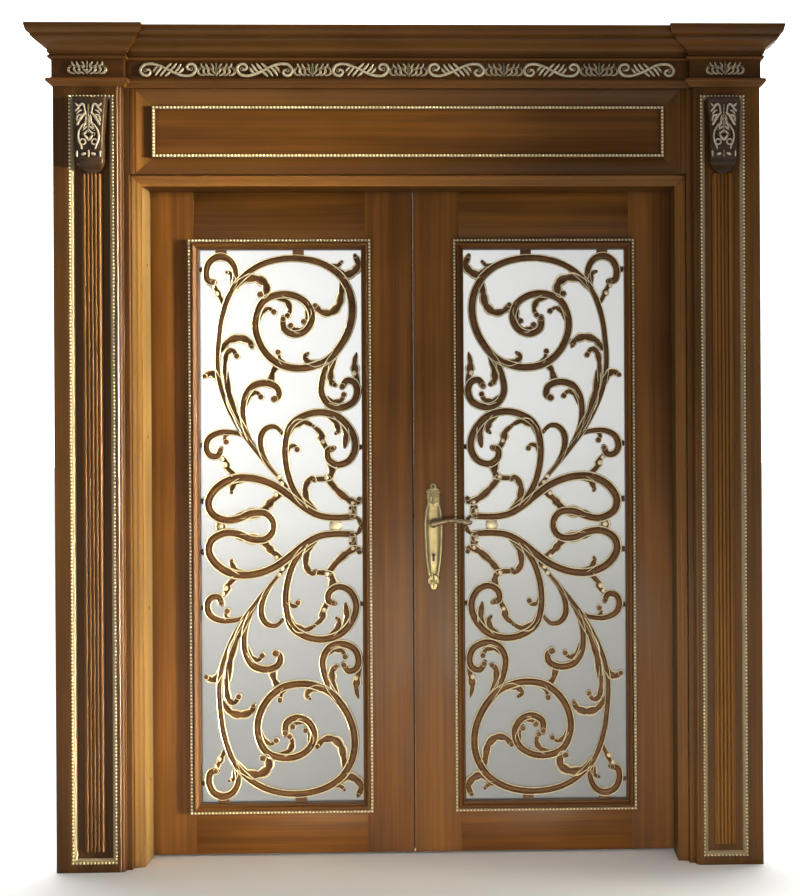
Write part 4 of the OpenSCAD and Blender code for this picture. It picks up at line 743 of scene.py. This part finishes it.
for side, sign in (("left", -1), ("right", 1)):
    lo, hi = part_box(side + "_grille")
    sight_lo, sight_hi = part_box(side + "_glazing_moulding")
    width, height = sight_hi.x - sight_lo.x - 2 * out * MM, sight_hi.z - sight_lo.z - 2 * out * MM
    middle, mid_z = (sight_lo.x + sight_hi.x) / 2, (sight_lo.z + sight_hi.z) / 2
    shape, thick = Shape(), (hi.y - lo.y) / MM
    for up in (1, -1):
        def at(q, depth, up=up):
            x = middle + sign * (width / 2 - q[0] * width / GRILLE_REF[0])
            return (min(max(x, lo.x), hi.x), lo.y + depth * MM,
                    min(max(mid_z + up * q[1] * height / GRILLE_REF[1], lo.z), hi.z))
        for s in GRILLE:
            leafy = 3 <= len(s[4]) <= 6
            full = LEAF_FULL if leafy else STEM_FULL
            fuller = (*[w * full for w in s[:3]], s[3] * CURL_FULL, s[4])
            stroke(shape, fuller, at, thick, HOLLOW if leafy else STEM,
                   lobes=len(s[4]) - 1 if leafy else 0, dive=(thick * .3, 0 if s[3] else thick * .25))
        for u, v, r in BERRIES:
            knob(shape, (u, v), r, at, thick, 1.2, 12, domed=True)
        for u in TABS:
            a, b = u - TAB_HALF, u + TAB_HALF
            corners = ((a, TAB_LOW), (b, TAB_LOW), (b, TAB_HIGH), (a, TAB_HIGH))
            shape.skin([[at(q, d) for q in corners] for d in (1, thick)])
    for u, v, r, sides in KNOBS:
        knob(shape, (u, v), r, at, thick, 1.2, sides, domed=True)
    shape.piece(side + "_scrollwork", CARVED_GRILLE, side + "_leaf", [side + "_grille"], "carved_walnut", 50)

# Frieze: scrolls and leaf sprays in turn
SCROLL = [
    (9, 10, 7, 6, [(-2, 1), (-28, 12), (-52, 18), (-72, 14), (-82, -1), (-76, -14), (-62, -17), (-53, -8),
                   (-58, 0), (-67, -2)]),
    (9, 10, 7, 6, [(-2, 1), (27, -13), (49, -18), (70, -15), (82, 1), (76, 14), (64, 17), (55, 9), (60, 1),
                   (68, 2)]),
    (5, 9, 5, 3, [(-32, 9), (-39, 3), (-44, -5)]),
    (5, 10, 5, 0, [(-20, 6), (-29, -3), (-37, -15)]),
    (5, 10, 5, 0, [(-7, 1), (-15, -7), (-23, -17)]),
    (5, 9, 5, 0, [(7, -5), (0, -11), (-8, -18)]),
    (5, 9, 5, 3, [(32, -9), (39, -3), (44, 5)]),
    (5, 10, 5, 0, [(20, -6), (29, 3), (37, 15)]),
    (5, 10, 5, 0, [(7, -1), (15, 7), (23, 17)]),
    (5, 9, 5, 0, [(-7, 5), (0, 11), (8, 18)]),
]
SPRAY = [
    (6, 9, 5, 0, [(0, -17), (0, 0), (0, 18)]),
    (4, 8, 4, 0, [(3, -13), (11, -2), (9, 8), (15, 17)]),
    (4, 8, 4, 4, [(9, -17), (21, -12), (24, -2), (18, 4)]),
    (4, 8, 4, 0, [(15, 1), (26, 5), (31, 17)]),
    (4, 8, 4, 4, [(24, -17), (36, -11), (38, 0), (32, 5)]),
    (4, 7, 4, 0, [(33, 5), (42, 9), (45, 17)]),
    (4, 8, 4, 4, [(38, -17), (51, -13), (55, -3), (50, 4)]),
]


def carving_at(x, z, y, thick, flip=1, mirror=1):
    """Places a stroke's points on a face at depth y, around x and z."""
    return lambda q, depth: (x + mirror * q[0] * MM, y - (thick - depth) * MM, z + flip * q[1] * MM)


lo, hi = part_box("frieze_carving")
relief = (hi.y - lo.y) / MM
board_lo, board_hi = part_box("frieze_board")
mid_z = (board_lo.z + board_hi.z) / 2
pitch = 2 * (board_hi.x - FRIEZE_MARGIN * MM) / (FRIEZE_UNITS - FRIEZE_SHORT)
shape = Shape()
for i in range(FRIEZE_UNITS):
    place = carving_at((i - (FRIEZE_UNITS - 1) / 2) * pitch, mid_z, hi.y, relief, 1 if i % 2 == 0 else -1)
    for s in SCROLL:
        stroke(shape, s, place, relief, ROUND, 5, 8)
for i in range(FRIEZE_UNITS - 1):
    for mirror in (1, -1):
        place = carving_at((i - (FRIEZE_UNITS - 2) / 2) * pitch, mid_z, hi.y, relief, 1, mirror)
        for s in SPRAY:
            stroke(shape, s, place, relief, VEINED, 4, 8)
shape.piece("frieze_scrolls", GILT_CARVING, "frame", ["frieze_carving"], "gilding", 60)
lo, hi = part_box("frieze_palmettes")
shape = Shape()
for sign in (-1, 1):
    for mirror in (1, -1):
        place = carving_at(sign * (block_lo.x + block_hi.x) / 2, mid_z, hi.y, relief, 1, mirror)
        for s in SPRAY:
            stroke(shape, s, place, relief, VEINED, 4, 8)
shape.piece("frieze_sprays", GILT_CARVING, "frame", ["frieze_palmettes"], "gilding", 60)


# Corbels: a tapered block with a rounded drop, carved with a palmette and studs
PALMETTE = [
    (7, 8, 5, 0, [(0, 118), (0, 150), (0, 198)]),
    (5, 8, 7, 0, [(-9, 172), (-12, 194), (-18, 200), (-25, 196), (-31, 186), (-36, 181)]),
    (4, 7, 5, 0, [(-27, 192), (-33, 197), (-37, 201)]),
    (6, 10, 8, 0, [(-8, 175), (-18, 165), (-25, 154), (-32, 141)]),
    (5, 8, 5, 0, [(-14, 168), (-30, 166), (-34, 152)]),
    (5, 7, 6, 0, [(-4, 158), (-10, 143), (-14, 132)]),
    (5, 7, 8, 4, [(-4, 134), (-9, 130), (-16, 125)]),
    (5, 7, 8, 4, [(-3, 122), (-8, 117), (-15, 111)]),
    (7, 10, 6, 0, [(-10, 106), (-5, 99), (0, 94)]),
    (4, 6, 4, 0, [(-6, 167), (-8, 154), (-6, 141)]),
    (4, 6, 4, 0, [(-21, 182), (-28, 178), (-33, 172)]),
    (5, 7, 6, 0, [(-16, 140), (-27, 122), (-30, 105), (-27, 90), (-22, 78), (-20, 70)]),
    (5, 5, 5, 0, [(-25, 92), (-19, 97), (-11, 94), (-9, 87), (-14, 81), (-22, 82)]),
    (7, 8, 7, 0, [(0, 62), (0, 54), (0, 47)]),
    (9, 10, 9, 0, [(-12, 54), (-15, 53), (-17, 52)]),
    (6, 7, 6, 0, [(-34, 60), (-34, 54), (-34, 48)]),
]
for side in ("left", "right"):
    lo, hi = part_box(side + "_corbel")
    middle, height, top_half = (lo.x + hi.x) / 2, (hi.z - lo.z) / MM, (hi.x - lo.x) / 2 / MM
    front = (hi.y - lo.y) / MM - relief
    shape = Shape()
    profile = ([(0, 9)] + swap(cyma((10, 3), (front - 6, CORBEL_DROP - 8), 12)) + [(CORBEL_DROP, front - 6)]
               + [(CORBEL_DROP + 4, front - 5), (CORBEL_DROP + 8, front), (height / 2, front)]
               + [(height - 14, front)]
               + [(height - 10, front + 4), (height, front + 4)])
    rings = []
    for z, f in profile:
        reach = CORBEL_FOOT_W / 2
        if z < CORBEL_DROP:
            reach *= math.sqrt(max(1 - (z / CORBEL_DROP - 1) ** 2, .04))
        elif z > height / 2:
            reach += (top_half - reach) * (z - height / 2) / (height / 2)
        e = min(5, f * .4, reach * .3)
        across = [(-reach, 0), (-reach, f - e), (-reach + e * .3, f - e * .3), (-reach + e, f)]
        across += [(-x, d) for x, d in reversed(across)]
        rings.append([(middle + x * MM, hi.y - d * MM, lo.z + z * MM) for x, d in across])
    shape.skin(rings)
    for mirror in (1, -1):
        at = carving_at(middle, lo.z, hi.y - front * MM, relief, 1, mirror)
        for s in PALMETTE:
            stroke(shape, s, at, relief, ROUND, 5, 9)
    shape.piece(side + "_console", CARVED_CORBEL, "frame", [side + "_corbel"], "carved_walnut", 50)
    lo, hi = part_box(side + "_reeded_panel")
    middle, w = (lo.x + hi.x) / 2, REEDS * REED_W
    edge = w / 2 + REED_EDGE
    section = [(-edge, 0), (-edge, REED_BASE), (-w / 2, REED_BASE)]
    for i in range(REEDS):
        section += arc((-w / 2 + REED_W * (i + .5), REED_BASE), REED_W / 2 - .4, 180, 0, 10)
    section += [(w / 2, REED_BASE), (edge, REED_BASE), (edge, 0)]
    shape = Shape()
    rings = [[(middle + x * MM, hi.y - d * MM, z) for x, d in section] for z in (lo.z, hi.z)]
    grain = [(z, x * MM * 1.6 + d * MM, middle) for z in (lo.z, hi.z) for x, d in section]
    shape.skin(rings, grain=grain)
    shape.piece(side + "_reeds", WOOD_REED[side], "frame", [side + "_reeded_panel"], "walnut", 50)

# Handle: plates with a raised border and carved ends, and a leaf-carved lever on a turned neck
PLATE = [(0, 6), (.011, 10), (.034, 12), (.056, 16), (.079, 21), (.1, 20), (.116, 17), (.18, 20),
         (.26, 23.5), (.33, 26), (.41, 27.7), (.56, 29), (.63, 29), (.71, 27), (.745, 26), (.78, 23),
         (.813, 20), (.835, 20.5), (.865, 21.5), (.9, 21), (.925, 23), (.94, 21), (.95, 13), (.958, 8),
         (.97, 10), (.989, 8), (1, 3)]
PLATE_CARVING = [
    (3, 5, 3, 0, [(4, 266), (13, 272), (18, 282), (15, 293), (8, 293), (7, 285), (12, 283)]),
    (3, 6, 2, 0, [(0, 262), (0, 280), (0, 303)]),
    (2, 4, 2, 0, [(3, 296), (10, 303), (19, 302)]),
    (3, 5, 3, 0, [(3, 46), (12, 38), (17, 28), (14, 18), (7, 18), (6, 26), (11, 27)]),
    (3, 6, 2, 0, [(0, 44), (0, 26), (0, 6)]),
    (3, 5, 4, 0, [(0, 310), (6, 312), (8, 318), (5, 324), (0, 325)]),
]
LEVER = [(-9, 0, 5), (-7, 0, 8), (-2, 0, 9), (10, 2, 8.5), (30, 7, 6.5), (52, 11, 6.5), (75, 10, 7.5),
         (97, 6, 9), (110, 5, 8.5), (117, 5, 6), (120, 5, 2.5)]
lo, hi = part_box("handle_plates")
handle_x, plate_h = (lo.x + hi.x) / 2, (hi.z - lo.z) / MM
handle_z = lo.z + plate_h * PLATE_LOW * MM
shape, hole_shade = Shape(), Shape()
for face, way in ((lo.y + PLATE_T * MM, -1), (hi.y - PLATE_T * MM, 1)):
    rings = []
    for share, half in smooth(PLATE, 3):
        half = max(half, 2)
        sunk = np.clip((share - .13) / .03, 0, 1) * np.clip((.80 - share) / .03, 0, 1)
        inner = half - min(8, half * .42)
        across = [(-half, 0), (-half, 2.2), (-half + .5, 3.2), (-half + 1.6, 3.9), (-inner - .8, 4),
                  (-inner, 3.9 - .4 * sunk), (-inner + 1.4, 3.9 - 1.7 * sunk),
                  (-inner * .4, 3.9 - 1.5 * sunk)]
        across += [(-x, d) for x, d in reversed(across)]
        z = lo.z + share * plate_h * MM
        rings.append([(handle_x + x * MM, face + way * d * MM, z) for x, d in across])
    shape.skin(rings, gilt=1.0)
    for mirror in (1, -1):
        for s in PLATE_CARVING:
            stroke(shape, s, lambda q, d: (handle_x + mirror * q[0] * MM,
                                           face + way * (PLATE_T + 1.6 - d) * MM,
                                           lo.z + q[1] * MM), 2.2, ROUND, 5, 5)
    # Dark insets in the keyhole and the eye: painted shade where the holes show dark
    keyhole_z = plate_h * PLATE_LOW - KEYHOLE_DROP
    keyhole = arc((0, keyhole_z), KEYHOLE_R, -60, 240, 14) + [(-4, keyhole_z - 19), (4, keyhole_z - 19)]
    eye = arc((0, plate_h * EYE_HIGH), EYE_R, 0, 345, 23)
    for outline, top in ((keyhole, 2.75), (eye, PLATE_T + .15)):
        hole_shade.skin([[(handle_x + x * MM, face + way * d * MM, lo.z + z * MM) for x, z in outline]
                     for d in (1, top)])
shape.piece("handle_plate_pair", BRASS, "right_leaf", ["handle_plates"], "brass", 50)
hole_shade.piece("keyhole_shade_pair", HOLE_SHADE, "right_leaf", ["handle_plates"], "brass", 50)
lo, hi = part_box("lever_handle")
shape, sides = Shape(), 24
back_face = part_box("handle_plates")[1].y
for middle, face, way in ((lo.y + LEVER_R * MM, leaf_y - PLATE_T * MM, -1),
                          (hi.y - LEVER_R * MM, back_face, 1)):
    rings = []
    for x, z, r in smooth(LEVER, 9):
        carve = np.clip((x - 34) / 14, 0, 1) * np.clip((118 - x) / 8, 0, 1)
        ring = []
        for i in range(sides):
            a = 2 * math.pi * i / sides
            k = min(r, LEVER_R) * (1 - .3 * carve * (.5 + .5 * math.sin(3 * a + x * .3)))
            ring.append((handle_x + x * MM, middle + k * math.cos(a) * MM,
                         handle_z + (z + k * math.sin(a)) * MM))
        rings.append(ring)
    shape.skin(rings)
    reach = abs(face - middle) / MM
    neck = [(0, 12.5), (1.5, 13.4), (3, 13), (4, 11), (5, 10.6), (6.5, 11), (7.5, 9.6), (12, 8),
            (reach * .6, 7.2), (reach * .8, 7.8), (reach, 8.8)]
    shape.skin([[(handle_x + r * u * MM, face + way * d * MM, handle_z + r * v * MM)
                 for u, v in circle(sides)] for d, r in neck])
shape.piece("carved_lever_pair", BRASS_LEVER, "lever", ["lever_handle"], "brass", 50)


# Stage, light and camera
def area_light(name, place, target, size, watts, colour=(1, 1, 1), spread=180):
    data = bpy.data.lights.new(name, "AREA")
    data.shape, data.size, data.size_y = "RECTANGLE", size[0], size[1]
    data.energy, data.color, data.spread = watts, colour, math.radians(spread)
    obj = bpy.data.objects.new(name, data)
    bpy.context.scene.collection.objects.link(obj)
    obj.location = place
    obj.visible_camera = False
    obj.rotation_euler = (Vector(target) - Vector(place)).to_track_quat("-Z", "Y").to_euler()


bpy.ops.mesh.primitive_circle_add(vertices=64, radius=60, fill_type="NGON", location=(0, 0, 0))
floor = bpy.context.object
floor.name = "floor"
floor.data.materials.append(floor_finish("pale_floor"))

world = bpy.data.worlds.new("studio")
bpy.context.scene.world = world
world.use_nodes = True
t = world.node_tree
t.nodes.clear()
out_node = node(t, "ShaderNodeOutputWorld")
sky = node(t, "ShaderNodeBackground")
t.links.new(sky.outputs[0], out_node.inputs[0])
way = node(t, "ShaderNodeTexCoord")
parts = node(t, "ShaderNodeSeparateXYZ")
t.links.new(way.outputs["Generated"], parts.inputs[0])
behind = math_node(t, "ADD", math_node(t, "MULTIPLY", parts.outputs["Y"], .5), .5)
t.links.new(ramp(t, behind, [(.5, .028), (.64, 1)]), sky.inputs["Color"])
sky.inputs["Strength"].default_value = 2.2
area_light("key", (4.83, -1.30, 1.12), (-.93, -.02, 1.12), (.06, 2.42), 20, (1, .92, .7), 6.6)
area_light("overhead", (0, .2, 6.5), (0, .2, 0), (9, 9), 300)
area_light("front_left", (-2.6, -4.6, 1.8), (-.4, 0, 1.2), (1.2, 2.2), 10.2, (1, .95, .87))
area_light("front_low", (.1, -3.4, .4), (.1, .17, .1), (1.6, .3), 6.2, (1, .88, .68), 45)
area_light("front_right", (2.2, -4.8, 1.5), (.6, 0, 1.1), (.9, 2.0), 6.5, (1, .95, .87))

scene = bpy.context.scene
scene.view_settings.view_transform = "Standard"
camera = bpy.data.objects.new("camera", bpy.data.cameras.new("camera"))
scene.collection.objects.link(camera)
yaw, roll_angle = math.radians(1.63), math.radians(-.31)
forward = Vector((math.sin(yaw), math.cos(yaw), 0))
right = Vector((math.cos(yaw), -math.sin(yaw), 0))
up = Vector((0, 0, 1))
x_axis = right * math.cos(roll_angle) + up * math.sin(roll_angle)
y_axis = up * math.cos(roll_angle) - right * math.sin(roll_angle)
turn = Matrix((x_axis, y_axis, -forward)).transposed().to_4x4()
camera.matrix_world = Matrix.Translation(CAMERA_PLACE) @ turn
camera.data.sensor_width = 36
camera.data.lens = CAMERA_LENS
camera.data.shift_x, camera.data.shift_y = CAMERA_SHIFT
scene.camera = camera
